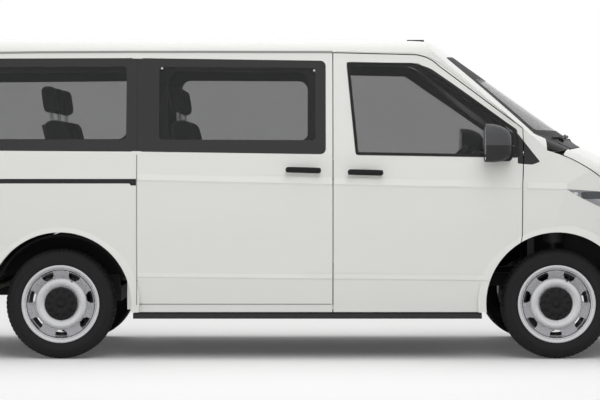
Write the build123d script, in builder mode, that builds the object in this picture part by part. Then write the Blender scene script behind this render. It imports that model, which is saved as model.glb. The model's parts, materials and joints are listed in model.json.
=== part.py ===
"""Short-wheelbase window minibus, nine seats, sliding door on the right.

Millimetres. +X is forward, +Y is left, +Z is up. The origin is on the ground,
midway between the tail and the nose and on the centre line.
"""
from build123d import *
import math
import os

os.makedirs("parts", exist_ok=True)

# Overall sizes
body_length = 4892
body_width = 1904
body_height = 1970
wheelbase = 3000
front_overhang = 894
track = 1628
sill_height = 284

# Walls and running gaps
wall = 60
skin = 16
door_gap = 6
seat_gap = 0.3
glass_thickness = 6
seal_gap = 6
post_depth = 46

# Heights of the body side
gutter_height = 1862
belt_height = 1250
swage_height = 1062
crease_height = 486
floor_height = 500
cowl_height = 1318
header_height = 1848
floor_thickness = 30

# Places along the body
door_rear_x = 202
sliding_rear_x = -985
hinge_x = 1300
hinge_inset = 37
hinge_edge_radius = 46
header_x = 985
cowl_x = 1740
screen_half_width = 800
nose_root_x = 1380
pillar_foot_x = 1490
firewall_x = 1440

# Wheels
tyre_radius = 333
tyre_width = 208
rim_radius = 221
bead_seat_radius = 203
arch_radius = 430
arch_centre_height = 338
flare_radius = 478
flare_height = 8
kingpin_offset = 112
rail_y = 420
tower_height = 860
bolt_circle_radius = 60
bolt_count = 5
bolt_radius = 7.5
hub_bore_radius = 32.5
vent_count = 7
hub_face = -46

half_width = body_width / 2
side_half_width = half_width - flare_height
nose_x = body_length / 2
tail_x = -body_length / 2
front_axle_x = nose_x - front_overhang
rear_axle_x = front_axle_x - wheelbase
wheel_y = track / 2
hinge_y = half_width - hinge_inset
reach = half_width + 150


def write(piece, name):
    """Label one finished piece and write its file."""
    piece.part.label = name
    export_step(piece.part, f"parts/{name}.step")


def mirrored(source):
    """The same piece on the other side of the centre line."""
    with BuildPart() as other:
        mirror(source.part, about=Plane.XZ)
    return other


def joined(*pieces):
    """Like pieces that share one node."""
    with BuildPart() as group:
        for piece in pieces:
            add(piece.part)
    return group


# Half-section of the body side: height, distance in from the widest place,
# and how much of the inset each point drops by
side_section = [
    (sill_height, 44, 0),
    (crease_height, 10, 0),
    (720, 0, 0),
    (swage_height, 4, 0),
    (belt_height, 24, 0),
    (gutter_height, 116, 1),
]
roof_shoulder = 190
shoulder_drop = 46


def body_form(inset):
    """The closed outer form of the body, or the same form moved in by inset."""
    i = inset
    top = body_height - i
    base = sill_height if i == 0 else sill_height - wall
    with BuildPart() as form:
        with BuildSketch(Plane.XZ):
            with BuildLine():
                tail_low = Line((tail_x + 22 + i, base), (tail_x + i, 430))
                tail_mid = Line(tail_low @ 1, (tail_x + i, 640))
                tail_up = Line(tail_mid @ 1, (tail_x + 22 + i, 1150))
                tail_top = Line(tail_up @ 1, (tail_x + 108 + i, body_height - 150 - 0.5 * i))
                corner = ThreePointArc(
                    tail_top @ 1,
                    (tail_x + 140 + i, body_height - 66 - 0.7 * i),
                    (tail_x + 226 + i, top - 28),
                )
                crown = ThreePointArc(corner @ 1, (-600, top), (620, top - 34))
                header = ThreePointArc(
                    crown @ 1,
                    (header_x - 135 - 0.2 * i, top - 66),
                    (header_x - 0.5 * i, header_height - i),
                )
                screen = Line(header @ 1, (cowl_x - 1.2 * i, cowl_height - i))
                lid = ThreePointArc(
                    screen @ 1,
                    (nose_x - 306 - 0.6 * i, 1216 - i),
                    (nose_x - 92 - i, 1012 - 0.8 * i),
                )
                front = ThreePointArc(lid @ 1, (nose_x - 20 - i, 830), (nose_x - i, 620))
                chin = Line(front @ 1, (nose_x - 26 - i, base))
                Line(chin @ 1, tail_low @ 0)
            make_face()
        extrude(amount=reach, both=True)
        with BuildSketch(Plane.XY):
            with BuildLine():
                h = side_half_width - i
                tail = ThreePointArc(
                    (tail_x + i, 0), (tail_x + 8 + i, h - 450), (tail_x + 36 + i, h - 145)
                )
                rear_corner = ThreePointArc(
                    tail @ 1, (tail_x + 72 + i, h - 68), (tail_x + 166 + i, h - 20)
                )
                rear_side = ThreePointArc(rear_corner @ 1, (tail_x + 540, h - 2), (tail_x + 950, h))
                flank = Line(rear_side @ 1, (nose_x - 1300, h))
                front_side = ThreePointArc(
                    flank @ 1, (nose_x - 750, h - 9), (nose_x - 296 - 0.4 * i, h - 55)
                )
                front_corner = ThreePointArc(
                    front_side @ 1, (nose_x - 146 - i, h - 150), (nose_x - 62 - i, h - 350)
                )
                ThreePointArc(front_corner @ 1, (nose_x - 14 - i, h - 640), (nose_x - i, 0))
                mirror(about=Plane.XZ)
            make_face()
        extrude(amount=body_height + 50, mode=Mode.INTERSECT)
        with BuildSketch(Plane.YZ):
            with BuildLine():
                points = [
                    (side_half_width - d - i * (1 - 0.15 * drop), z - drop * i)
                    for z, d, drop in side_section
                ]
                run = Line((0, base), (points[0][0], base))
                for y, z in points[1:]:
                    run = Line(run @ 1, (y, z))
                shoulder = ThreePointArc(
                    run @ 1,
                    (side_half_width - 142 - i, top - 72),
                    (side_half_width - roof_shoulder - i, top - shoulder_drop),
                )
                ThreePointArc(shoulder @ 1, (300, top - 8), (0, top))
                mirror(about=Plane.YZ)
            make_face()
        extrude(amount=body_length / 2 + 50, both=True, mode=Mode.INTERSECT)
        add(cab_and_nose(i), mode=Mode.INTERSECT)
        for x in (front_axle_x, rear_axle_x):
            add(arch_flare(x, i))
            add(arch_flare(x, i).mirror(Plane.XZ))
    return form.part


# Nose cross-sections: place along the body, shoulder height, crown height
nose_sections = [
    (nose_root_x, 1230, 1480),
    (nose_x, 800, 960),
]


def cab_and_nose(inset):
    """What lies behind the curved windscreen, with the falling nose in front of it."""
    i = inset
    run = (cowl_x - header_x) / (header_height - cowl_height)
    # Windscreen sections: height, how far the centre stands ahead of the pillars
    screen_sections = [(1200, 284), (2000, 117)]
    with BuildPart(mode=Mode.PRIVATE) as space:
        for z, bulge in screen_sections:
            x = cowl_x + (cowl_height - z) * run - 1.74 * i
            with BuildSketch(Plane.XY.offset(z)):
                with BuildLine():
                    edge = x - bulge
                    screen_half = screen_half_width - 0.4 * i
                    back = Polyline(
                        (edge, screen_half),
                        (edge - 40, side_half_width - 40),
                        (edge - 45, reach),
                        (tail_x - 50, reach),
                        (tail_x - 50, -reach),
                        (edge - 45, -reach),
                        (edge - 40, -side_half_width + 40),
                        (edge, -screen_half),
                    )
                    ThreePointArc(back @ 1, (x, 0), back @ 0)
                make_face()
        loft(ruled=True)
        with Locations((tail_x - 50, 0, 0)):
            Box(
                nose_root_x + 60 - tail_x + 50,
                2 * reach,
                screen_sections[0][0],
                align=(Align.MIN, Align.CENTER, Align.MIN),
            )
    with BuildPart(mode=Mode.PRIVATE) as nose:
        for x, shoulder, crown in nose_sections:
            with BuildSketch(Plane.YZ.offset(x)):
                with BuildLine():
                    drop = crown - shoulder
                    base = Line((0, 0), (half_width + 8 - i, 0))
                    side = Line(base @ 1, (half_width + 8 - i, shoulder - i))
                    turn = ThreePointArc(
                        side @ 1,
                        (half_width - 27 - i, shoulder + 0.36 * drop - i),
                        (half_width - 152 - i, shoulder + 0.62 * drop - i),
                    )
                    ThreePointArc(turn @ 1, (420, crown - 0.08 * drop - i), (0, crown - i))
                    mirror(about=Plane.YZ)
                make_face()
        loft(ruled=True)
    return space.part + nose.part


def arch_flare(x, inset):
    """The raised ring round one wheel opening on the right side."""
    out = half_width - inset
    with BuildPart(mode=Mode.PRIVATE) as flare:
        with BuildSketch(Plane.XZ.offset(out - 200)):
            with Locations((x, arch_centre_height)):
                Circle(flare_radius)
        extrude(amount=200 - flare_height - 6)
        with BuildSketch(Plane.XZ.offset(out - flare_height - 6)):
            with Locations((x, arch_centre_height)):
                Circle(flare_radius)
        with BuildSketch(Plane.XZ.offset(out)):
            with Locations((x, arch_centre_height)):
                Circle(arch_radius + 4)
        loft()
        with Locations((x, 0, sill_height if inset == 0 else sill_height - wall)):
            Box(
                3 * flare_radius,
                4 * reach,
                3 * flare_radius,
                align=(Align.CENTER, Align.CENTER, Align.MIN),
                mode=Mode.INTERSECT,
            )
    return flare.part


outer = body_form(0)
glass_back = body_form(glass_thickness)
skin_back = body_form(skin)
inner = body_form(wall)
post_front = body_form(wall + seal_gap)
post_back = body_form(wall + seal_gap + post_depth)

with BuildPart() as shell:
    add(outer)
    add(inner, mode=Mode.SUBTRACT)

with BuildPart() as thin_shell:
    add(outer)
    add(skin_back, mode=Mode.SUBTRACT)

with BuildPart() as glass_shell:
    add(outer)
    add(glass_back, mode=Mode.SUBTRACT)


def side_prism(outline, near=0, far=reach):
    """An outline in side view carried across the right half of the body."""
    with BuildPart(mode=Mode.PRIVATE) as solid:
        with BuildSketch(Plane.XZ.offset(near)):
            add(outline)
        extrude(amount=far - near)
    return solid.part


def front_prism(outline, start, end):
    """An outline in front view carried along the body from start to end."""
    with BuildPart(mode=Mode.PRIVATE) as solid:
        with BuildSketch(Plane.YZ.offset(start)):
            add(outline)
        extrude(amount=end - start)
    return solid.part


def block(x0, x1, y0, y1, z0, z1):
    """A plain block between two corners."""
    solid = Box(x1 - x0, y1 - y0, z1 - z0, mode=Mode.PRIVATE)
    return Pos((x0 + x1) / 2, (y0 + y1) / 2, (z0 + z1) / 2) * solid


def rod(x, y, z, radius, length, turn=(0, 0, 0)):
    """A round bar centred on a point, along +Z unless turned."""
    return Location((x, y, z), turn) * Cylinder(radius, length, mode=Mode.PRIVATE)


along_y = (90, 0, 0)
along_x = (0, 90, 0)


# Outlines in side view, each a face in local (x, z)
door_top_rear = gutter_height - 10
door_top_front = gutter_height - 22
pillar_top_x = 690
pillar_foot = (1345, 1392)
pillar_head = (840, 1772)


def door_outline(grow):
    """Front door in side view, cut round by the wheel arch."""
    with BuildSketch(mode=Mode.PRIVATE) as face:
        with BuildLine():
            low = Polyline(
                (door_rear_x, door_top_rear),
                (door_rear_x, sill_height - 20),
                (hinge_x + 60, sill_height - 20),
                (hinge_x + 60, pillar_foot[1] - 10),
                pillar_foot,
                pillar_head,
            )
            bend = ThreePointArc(low @ 1, (784, 1814), (pillar_top_x, door_top_front))
            Line(bend @ 1, low @ 0)
        make_face()
        if grow:
            offset(amount=grow, kind=Kind.INTERSECTION)
        with Locations((front_axle_x, arch_centre_height)):
            Circle(arch_radius, mode=Mode.SUBTRACT)
    return face.sketch


def door_space(grow):
    """The space of the front door, its front edge rounded about the hinge pin."""
    with BuildPart(mode=Mode.PRIVATE) as ahead:
        add(block(hinge_x, hinge_x + 200, -reach, 0, 0, body_height + 50))
        with Locations((hinge_x, -hinge_y, 0)):
            Cylinder(
                hinge_edge_radius + grow,
                body_height + 100,
                align=(Align.CENTER, Align.CENTER, Align.MIN),
                mode=Mode.SUBTRACT,
            )
    with BuildPart(mode=Mode.PRIVATE) as space:
        add(side_prism(door_outline(grow)))
        add(ahead.part, mode=Mode.SUBTRACT)
    return space.part


def sliding_outline(grow):
    """Sliding door in side view."""
    with BuildSketch(mode=Mode.PRIVATE) as face:
        with BuildLine():
            Polyline(
                (sliding_rear_x, gutter_height - 4),
                (sliding_rear_x, sliding_sill),
                (door_rear_x - door_gap, sliding_sill),
                (door_rear_x - door_gap, door_top_rear),
                close=True,
            )
        make_face()
        if grow:
            offset(amount=grow, kind=Kind.INTERSECTION)
    return face.sketch


def window_outline(corners, radius, grow=0):
    """A window with rounded corners from its corner points in side view."""
    with BuildSketch(mode=Mode.PRIVATE) as face:
        with BuildLine():
            FilletPolyline(*corners, radius=radius, close=True)
        make_face()
        if grow:
            offset(amount=grow)
    return face.sketch


def roof_outline():
    """Everything above the gutter, with the windscreen pillars."""
    with BuildSketch(mode=Mode.PRIVATE) as face:
        with BuildLine():
            Polyline(
                (tail_x - 50, gutter_height - 4),
                (sliding_rear_x, gutter_height - 4),
                (door_rear_x, door_top_rear),
                (560, door_top_rear - 20),
                (560, 1650),
                (pillar_foot[0] + 8, wing_top),
                (nose_x, wing_top),
                (nose_x, body_height + 50),
                (tail_x - 50, body_height + 50),
                close=True,
            )
        make_face()
    return face.sketch


def lid_outline(grow):
    """Everything above the line where the bonnet meets the wings."""
    with BuildSketch(mode=Mode.PRIVATE) as face:
        with BuildLine():
            rear = Line((nose_root_x, wing_top), (1490, wing_top))
            fall = ThreePointArc(rear @ 1, (1690, 1180), (1830, 1084))
            run = ThreePointArc(fall @ 1, (2080, 990), (nose_x + 60, grille_top))
            Polyline(run @ 1, (nose_x + 60, 1600), (nose_root_x, 1600), rear @ 0)
        make_face()
        if grow:
            offset(amount=grow, kind=Kind.INTERSECTION)
    return face.sketch


def lamp_outline():
    """Headlamp in side view, drawn back to a thin tip."""
    with BuildSketch(mode=Mode.PRIVATE) as face:
        with BuildLine():
            upper = ThreePointArc((1606, 1028), (2040, 990), (nose_x + 60, grille_top - 2))
            lower = Line(upper @ 1, (nose_x + 60, lamp_base))
            belly = Line(lower @ 1, (2120, lamp_base + 26))
            ThreePointArc(belly @ 1, (1800, 925), upper @ 0)
        make_face()
    return face.sketch


def bumper_outline():
    """Front bumper in side view, ahead of the wheel arch."""
    with BuildSketch(mode=Mode.PRIVATE) as face:
        with BuildLine():
            Polyline(
                (nose_x + 60, lamp_base),
                (2120, lamp_base + 26),
                (1905, 565),
                (1905, 240),
                (nose_x + 60, 240),
                close=True,
            )
        make_face()
    return face.sketch


sliding_sill = 326
wing_top = 1262
grille_top = 912
lamp_base = 796
lamp_inner_y = 520

# Wheel openings through the side skin
with BuildPart() as arch_spaces:
    with BuildSketch(Plane.XZ.offset(-reach)):
        with Locations((front_axle_x, arch_centre_height), (rear_axle_x, arch_centre_height)):
            Circle(arch_radius)
    extrude(amount=2 * reach)

# Tailgate in front view, and its hinge line under the roof edge
tail_hinge_x = tail_x + 171
tail_hinge_z = body_height - 98
tail_edge_radius = 47
rear_bumper_top = 524
tailgate_low = rear_bumper_top + door_gap

with BuildSketch(mode=Mode.PRIVATE) as tailgate_face:
    with BuildLine():
        FilletPolyline(
            (-742, body_height - 40),
            (-806, belt_height),
            (-806, 800),
            (-780, tailgate_low),
            (780, tailgate_low),
            (806, 800),
            (806, belt_height),
            (742, body_height - 40),
            radius=40,
            close=True,
        )
    make_face()


def tailgate_space(grow):
    """The space of the tailgate, its top edge rounded about the hinge line."""
    with BuildPart(mode=Mode.PRIVATE) as above:
        add(block(tail_x - 100, tail_hinge_x + grow, -reach, reach, tail_hinge_z, body_height + 50))
        with Locations(Location((tail_hinge_x, 0, tail_hinge_z), (90, 0, 0))):
            Cylinder(tail_edge_radius + grow, 2 * reach, mode=Mode.SUBTRACT)
    with BuildPart(mode=Mode.PRIVATE) as space:
        with BuildSketch(Plane.YZ.offset(tail_x - 50)):
            add(tailgate_face.sketch)
            if grow:
                offset(amount=grow)
        extrude(amount=tail_hinge_x + grow - tail_x + 50)
        if grow:
            with Locations(Location((tail_hinge_x, 0, tail_hinge_z), (90, 0, 0))):
                Cylinder(tail_edge_radius + grow, 1500)
        add(above.part, mode=Mode.SUBTRACT)
    return space.part


# Openings and panes in side view: corner points of each clear window
quarter_glass_corners = [
    (-2250, 1818),
    (sliding_rear_x - 4, 1822),
    (sliding_rear_x - 4, 1254),
    (-2250, 1262),
]
quarter_clear_corners = [(-2180, 1730), (-1044, 1740), (-1044, 1330), (-2180, 1330)]
sliding_glass_corners = [(sliding_rear_x + 4, 1822), (156, 1806), (156, 1238), (sliding_rear_x + 4, 1254)]
sliding_clear_corners = [(-800, 1742), (52, 1738), (52, 1318), (-800, 1322)]
door_glass_corners = [(279, 1800), (720, 1790), (1312, 1388), (1328, 1216), (335, 1232)]

quarter_glass_face = window_outline(quarter_glass_corners, 34)
quarter_clear_face = window_outline(quarter_clear_corners, 60)
sliding_glass_face = window_outline(sliding_glass_corners, 34)
sliding_clear_face = window_outline(sliding_clear_corners, 60)
door_glass_face = window_outline(door_glass_corners, 26)
door_clear_face = window_outline(door_glass_corners, 26, grow=-20)

# Windscreen in front view
with BuildSketch(mode=Mode.PRIVATE) as windscreen_face:
    with BuildLine():
        left = Line((-700, header_height - 16), (-812, 1306))
        foot = ThreePointArc(left @ 1, (0, 1338), (812, 1306))
        right = Line(foot @ 1, (700, header_height - 16))
        ThreePointArc(right @ 1, (0, header_height + 4), left @ 0)
    make_face()
    fillet(windscreen_face.vertices(), radius=30)

with BuildSketch(mode=Mode.PRIVATE) as windscreen_clear_face:
    add(windscreen_face.sketch)
    offset(amount=-28)
    with Locations((0, 1300)):
        Rectangle(1500, 130)

# Fixing points
roof_bar_front_x = 450
roof_bar_rear_x = -1650
roof_bar_y = 730
roof_bar_hole_radius = 4
tow_eye_y = -485
tow_eye_height = 460
tow_eye_radius = 9
tow_boss_radius = 24
tow_boss_back = 110

# Hinges
door_hinge_heights = (820, 1130)
hinge_pin_radius = 8
handle_y = half_width + 18
post_face_y = half_width - wall - 30


def handle(start_x, end_x, z):
    """A pull handle: a bar standing off the right side on two feet."""
    foot = 34
    with BuildPart(mode=Mode.PRIVATE) as bar:
        add(block(start_x, end_x, -handle_y - 8, -handle_y + 8, z - 14, z + 14))
        add(block(start_x, start_x + foot, -handle_y, -handle_y + 60, z - 14, z + 14))
        add(block(end_x - foot, end_x, -handle_y, -handle_y + 60, z - 14, z + 14))
    return bar.part


def handle_bowl(x, z):
    """The hollow behind a pull handle, where the fingers go."""
    return Pos(x, -side_half_width - bowl_radius + bowl_depth, z) * Sphere(bowl_radius, mode=Mode.PRIVATE)


bowl_radius = 260
bowl_depth = 15
door_handle_z = 1129
sliding_handle_z = 1143
door_handle = handle(290, 498, door_handle_z)
sliding_door_handle = handle(-84, 124, sliding_handle_z)

# Front door, right
with BuildPart() as door_blank_right:
    add(shell.part)
    add(door_space(0), mode=Mode.INTERSECT)
    # step the inner part of the rear edge back, so that it clears the post as it swings
    add(
        block(door_rear_x - 1, door_rear_x + 16, -reach, 0, 0, body_height) & skin_back,
        mode=Mode.SUBTRACT,
    )
    add(side_prism(door_clear_face), mode=Mode.SUBTRACT)
    add(side_prism(door_glass_face) & (outer - glass_back), mode=Mode.SUBTRACT)
    # hinge pockets, open on the inside, and the bore for the pin
    for z in door_hinge_heights:
        add(block(hinge_x - 16, hinge_x + 60, -hinge_y - 13, -post_face_y + 40, z - 24, z + 24), mode=Mode.SUBTRACT)
        add(rod(hinge_x, -hinge_y, z, hinge_pin_radius + seat_gap, 130), mode=Mode.SUBTRACT)
    add(handle_bowl(394, door_handle_z + 14), mode=Mode.SUBTRACT)
    add(door_handle)
write(door_blank_right, "front_door_right")
write(mirrored(door_blank_right), "front_door_left")

# Door glasses, set flush in the outer skin
with BuildPart() as door_glass_right:
    add(glass_shell.part)
    add(side_prism(door_glass_face), mode=Mode.INTERSECT)
write(door_glass_right, "door_glass_right")
write(mirrored(door_glass_right), "door_glass_left")

# Sliding door, on the right only
with BuildPart() as sliding_door:
    add(shell.part)
    add(side_prism(sliding_outline(0)), mode=Mode.INTERSECT)
    add(side_prism(sliding_clear_face), mode=Mode.SUBTRACT)
    add(side_prism(sliding_glass_face) & (outer - glass_back), mode=Mode.SUBTRACT)
    add(handle_bowl(20, sliding_handle_z + 14), mode=Mode.SUBTRACT)
    add(sliding_door_handle)
write(sliding_door, "sliding_door")

with BuildPart() as sliding_door_glass:
    add(glass_shell.part)
    add(side_prism(sliding_glass_face), mode=Mode.INTERSECT)

# Quarter panel, right: from the sliding door back round the tail corner
def panel_outline(front_x):
    """The fixed side of the body behind front_x and below the gutter."""
    with BuildSketch(mode=Mode.PRIVATE) as face:
        with BuildLine():
            Polyline(
                (tail_x - 50, gutter_height - 4),
                (front_x, gutter_height - 4),
                (front_x, 240),
                (tail_x - 50, 240),
                close=True,
            )
        make_face()
    return face.sketch


sill_beam_y = side_half_width - 44 - wall - 8
lamp_low = 900
lamp_high = 1420
strip_low = 244
strip_high = sill_height - door_gap - 2
strip_out = side_half_width - 40
with BuildPart(mode=Mode.PRIVATE) as strip:
    add(block(-1010, 1100, -strip_out, -sill_beam_y + 30, strip_low, strip_high))
    add(block(-1010, 1090, -sill_beam_y, -sill_beam_y + 30, strip_high - 4, 304))
sill_strip = strip.part


def rear_bumper_outline():
    """Rear bumper in side view, behind the wheel arch."""
    with BuildSketch(mode=Mode.PRIVATE) as face:
        with BuildLine():
            Polyline(
                (tail_x - 50, rear_bumper_top),
                (rear_axle_x - 360, rear_bumper_top),
                (rear_axle_x - 360, 240),
                (tail_x - 50, 240),
                close=True,
            )
        make_face()
    return face.sketch


tail_lamp_space = block(tail_x - 50, tail_x + 150, -reach, -(side_half_width - 138 + door_gap), lamp_low, lamp_high)

# Channel of the sliding door's middle rail, hooked down at the door's rear edge
rail_top = 1090
rail_height = 28
with BuildSketch(mode=Mode.PRIVATE) as rail_sketch:
    with BuildLine():
        Polyline(
            (-2300, rail_top),
            (sliding_rear_x + 2, rail_top),
            (sliding_rear_x + 2, rail_top - rail_height - 12),
            (sliding_rear_x - 34, rail_top - rail_height - 12),
            (sliding_rear_x - 44, rail_top - rail_height),
            (-2300, rail_top - rail_height),
            close=True,
        )
    make_face()
rail_face = rail_sketch.sketch

with BuildPart() as side_panel_right:
    add(shell.part)
    add(side_prism(panel_outline(sliding_rear_x)), mode=Mode.INTERSECT)
    add(tailgate_space(door_gap), mode=Mode.SUBTRACT)
    add(side_prism(rear_bumper_outline()), mode=Mode.SUBTRACT)
    add(tail_lamp_space, mode=Mode.SUBTRACT)
    add(arch_spaces.part, mode=Mode.SUBTRACT)
    add(side_prism(quarter_clear_face), mode=Mode.SUBTRACT)
    add(side_prism(quarter_glass_face) & (outer - glass_back), mode=Mode.SUBTRACT)
    add(side_prism(rail_face) & (outer - skin_back), mode=Mode.SUBTRACT)
    # strip of sill under the sliding door, the sill beam behind the doors and the post
    add(
        shell.part
        & block(sliding_rear_x, door_rear_x - door_gap, -reach, 0, sill_height - 10, sliding_sill)
    )
    add(block(sliding_rear_x - 60, 1090, -sill_beam_y, -700, 300, floor_height))
    add(block(sliding_rear_x - 60, sliding_rear_x, -side_half_width + wall - 8, -700, 300, floor_height))
    add(block(sliding_rear_x, door_rear_x, -side_half_width + wall - 8, -800, 300, sliding_sill))
    add((post_front - post_back) & block(door_rear_x - 60, door_rear_x + 56, -reach, 0, 400, body_height))
    add(sill_strip)
write(side_panel_right, "side_panel_right")

# Side panel, left: one fixed side with the same windows and no sliding door
with BuildPart() as left_side:
    add(shell.part)
    add(side_prism(panel_outline(door_rear_x - door_gap)), mode=Mode.INTERSECT)
    add(side_prism(roof_outline()), mode=Mode.SUBTRACT)
    add(tailgate_space(door_gap), mode=Mode.SUBTRACT)
    add(side_prism(rear_bumper_outline()), mode=Mode.SUBTRACT)
    add(tail_lamp_space, mode=Mode.SUBTRACT)
    add(arch_spaces.part, mode=Mode.SUBTRACT)
    for face in (quarter_clear_face, sliding_clear_face):
        add(side_prism(face), mode=Mode.SUBTRACT)
    for face in (quarter_glass_face, sliding_glass_face):
        add(side_prism(face) & (outer - glass_back), mode=Mode.SUBTRACT)
    add(block(sliding_rear_x - 60, 1090, -sill_beam_y, -700, 300, floor_height))
    add(block(sliding_rear_x - 60, door_rear_x - 8, -side_half_width + wall - 8, -700, 300, floor_height))
    add((post_front - post_back) & block(door_rear_x - 60, door_rear_x + 56, -reach, 0, 400, body_height))
    add((skin_back - post_back) & block(door_rear_x - 60, door_rear_x - 8, -reach, 0, 400, gutter_height - 14))
    add(sill_strip)
write(mirrored(left_side), "side_panel_left")

with BuildPart() as quarter_glass_right:
    add(glass_shell.part)
    add(side_prism(quarter_glass_face), mode=Mode.INTERSECT)
right_side_glass = joined(sliding_door_glass, quarter_glass_right)
write(joined(right_side_glass, mirrored(right_side_glass)), "side_glasses")

tail_hinge_y = 400
with BuildSketch(mode=Mode.PRIVATE) as tail_arm_face:
    with BuildLine():
        Polyline(
            (tail_hinge_x - 10, tail_hinge_z + 4),
            (tail_hinge_x + 4, tail_hinge_z + 11),
            (tail_hinge_x + 66, tail_hinge_z - 12),
            (tail_hinge_x + 70, tail_hinge_z + 20),
            (tail_hinge_x + 100, tail_hinge_z + 20),
            (tail_hinge_x + 92, tail_hinge_z - 42),
            (tail_hinge_x - 6, tail_hinge_z - 10),
            close=True,
        )
    make_face()

# Aerial foot on the front of the roof
with BuildPart(mode=Mode.PRIVATE) as aerial:
    with BuildSketch(Plane.XY.offset(body_height - 60)):
        with Locations((742, 0)):
            RectangleRounded(136, 44, 20)
    extrude(amount=66, taper=12)

# Roof with the windscreen pillars
with BuildPart() as roof:
    add(shell.part)
    add(side_prism(roof_outline(), -reach, reach), mode=Mode.INTERSECT)
    add(aerial.part - inner)
    add(front_prism(windscreen_face.sketch, 700, nose_x) & (outer - glass_back), mode=Mode.SUBTRACT)
    add(front_prism(windscreen_clear_face.sketch, 700, nose_x), mode=Mode.SUBTRACT)
    for space in (door_space(door_gap), tailgate_space(door_gap)):
        add(space, mode=Mode.SUBTRACT)
    add(door_space(door_gap).mirror(Plane.XZ), mode=Mode.SUBTRACT)
    add(block(pillar_foot_x, nose_x, -reach, reach, 1000, 1500), mode=Mode.SUBTRACT)
    # goosenecks that carry the tailgate, each with its pin
    for side in (-1, 1):
        add(side_prism(tail_arm_face.sketch, side * tail_hinge_y - 9, side * tail_hinge_y + 9))
        add(rod(tail_hinge_x, side * tail_hinge_y, tail_hinge_z, hinge_pin_radius, 74, along_y))
        for x in (roof_bar_front_x, roof_bar_rear_x):
            add(
                rod(x, side * roof_bar_y, body_height - shoulder_drop, roof_bar_hole_radius, 60),
                mode=Mode.SUBTRACT,
            )
write(roof, "roof")

with BuildPart() as windscreen:
    add(glass_shell.part)
    add(front_prism(windscreen_face.sketch, 700, nose_x), mode=Mode.INTERSECT)
    add(block(700, 1900, -reach, reach, 1200, 1900), mode=Mode.INTERSECT)
write(windscreen, "windscreen")

# Line in plan where the bonnet ends, ahead of the scuttle
def lid_rear_space(shift):
    """The space ahead of the rear edge of the bonnet."""
    with BuildPart(mode=Mode.PRIVATE) as space:
        with BuildSketch():
            with BuildLine():
                edge = ThreePointArc((1496 + shift, -reach), (cowl_x + 52 + shift, 0), (1496 + shift, reach))
                Polyline(edge @ 1, (nose_x + 80, reach), (nose_x + 80, -reach), edge @ 0)
            make_face()
        extrude(amount=body_height)
    return space.part


lid_hinge_x = 1500
lid_hinge_z = 1236
lid_hinge_y = 750
with BuildSketch(mode=Mode.PRIVATE) as lid_lug_face:
    with BuildLine():
        Polyline(
            (lid_hinge_x - 14, lid_hinge_z - 14),
            (lid_hinge_x - 14, lid_hinge_z + 14),
            (lid_hinge_x + 14, lid_hinge_z + 14),
            (lid_hinge_x + 50, lid_hinge_z - 20),
            (lid_hinge_x + 124, lid_hinge_z - 20),
            (lid_hinge_x + 176, lid_hinge_z + 60),
            (lid_hinge_x + 270, lid_hinge_z + 60),
            (lid_hinge_x + 150, lid_hinge_z - 50),
            (lid_hinge_x + 40, lid_hinge_z - 50),
            close=True,
        )
    make_face()

with BuildPart() as bonnet:
    add(thin_shell.part)
    add(side_prism(lid_outline(-door_gap), -reach, reach), mode=Mode.INTERSECT)
    add(lid_rear_space(0), mode=Mode.INTERSECT)
    for side in (-1, 1):
        add(side_prism(lid_lug_face.sketch, side * lid_hinge_y - 5, side * lid_hinge_y + 5) & outer)
        add(
            rod(lid_hinge_x, -side * lid_hinge_y, lid_hinge_z, hinge_pin_radius + seat_gap, 20, along_y),
            mode=Mode.SUBTRACT,
        )
write(bonnet, "bonnet")

with BuildPart() as scuttle:
    add(thin_shell.part)
    add(block(1400, 1900, -812, 812, 1240, 1360) + block(pillar_foot_x, 1900, -reach, reach, wing_top, 1360),
        mode=Mode.INTERSECT)
    add(roof.part, mode=Mode.SUBTRACT)
    add(lid_rear_space(-10), mode=Mode.SUBTRACT)
    add(front_prism(windscreen_face.sketch, 700, nose_x), mode=Mode.SUBTRACT)
    for side in (-1, 1):
        add(block(lid_hinge_x - 30, 1700, side * lid_hinge_y - 12, side * lid_hinge_y + 12, 1200, 1400),
            mode=Mode.SUBTRACT)
write(scuttle, "scuttle")

with BuildPart() as wing_right:
    add(thin_shell.part)
    add(block(hinge_x, nose_x, -reach, -300, 500, wing_top), mode=Mode.INTERSECT)
    add(side_prism(lid_outline(0)), mode=Mode.SUBTRACT)
    add(side_prism(lamp_outline()), mode=Mode.SUBTRACT)
    add(side_prism(bumper_outline()), mode=Mode.SUBTRACT)
    add(door_space(door_gap), mode=Mode.SUBTRACT)
    add(arch_spaces.part, mode=Mode.SUBTRACT)
write(joined(wing_right, mirrored(wing_right)), "front_wings")

with BuildPart() as lamp_right:
    add(shell.part)
    add(side_prism(lamp_outline()), mode=Mode.INTERSECT)
    add(side_prism(lid_outline(0)), mode=Mode.SUBTRACT)
    add(block(1500, nose_x, -reach, -lamp_inner_y, 500, 1200), mode=Mode.INTERSECT)
write(joined(lamp_right, mirrored(lamp_right)), "headlamps")

grille_slot_count = 3
grille_slot_low = 812
grille_slot_pitch = 31
grille_slot_height = 19
grille_slot_half = 470
with BuildPart() as grille:
    add(shell.part)
    add(side_prism(lamp_outline(), -lamp_inner_y, lamp_inner_y), mode=Mode.INTERSECT)
    add(side_prism(lid_outline(0), -reach, reach), mode=Mode.SUBTRACT)
    for row in range(grille_slot_count):
        low = grille_slot_low + row * grille_slot_pitch
        add(block(nose_x - 300, nose_x + 10, -grille_slot_half, grille_slot_half, low, low + grille_slot_height),
            mode=Mode.SUBTRACT)
write(grille, "grille")

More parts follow.
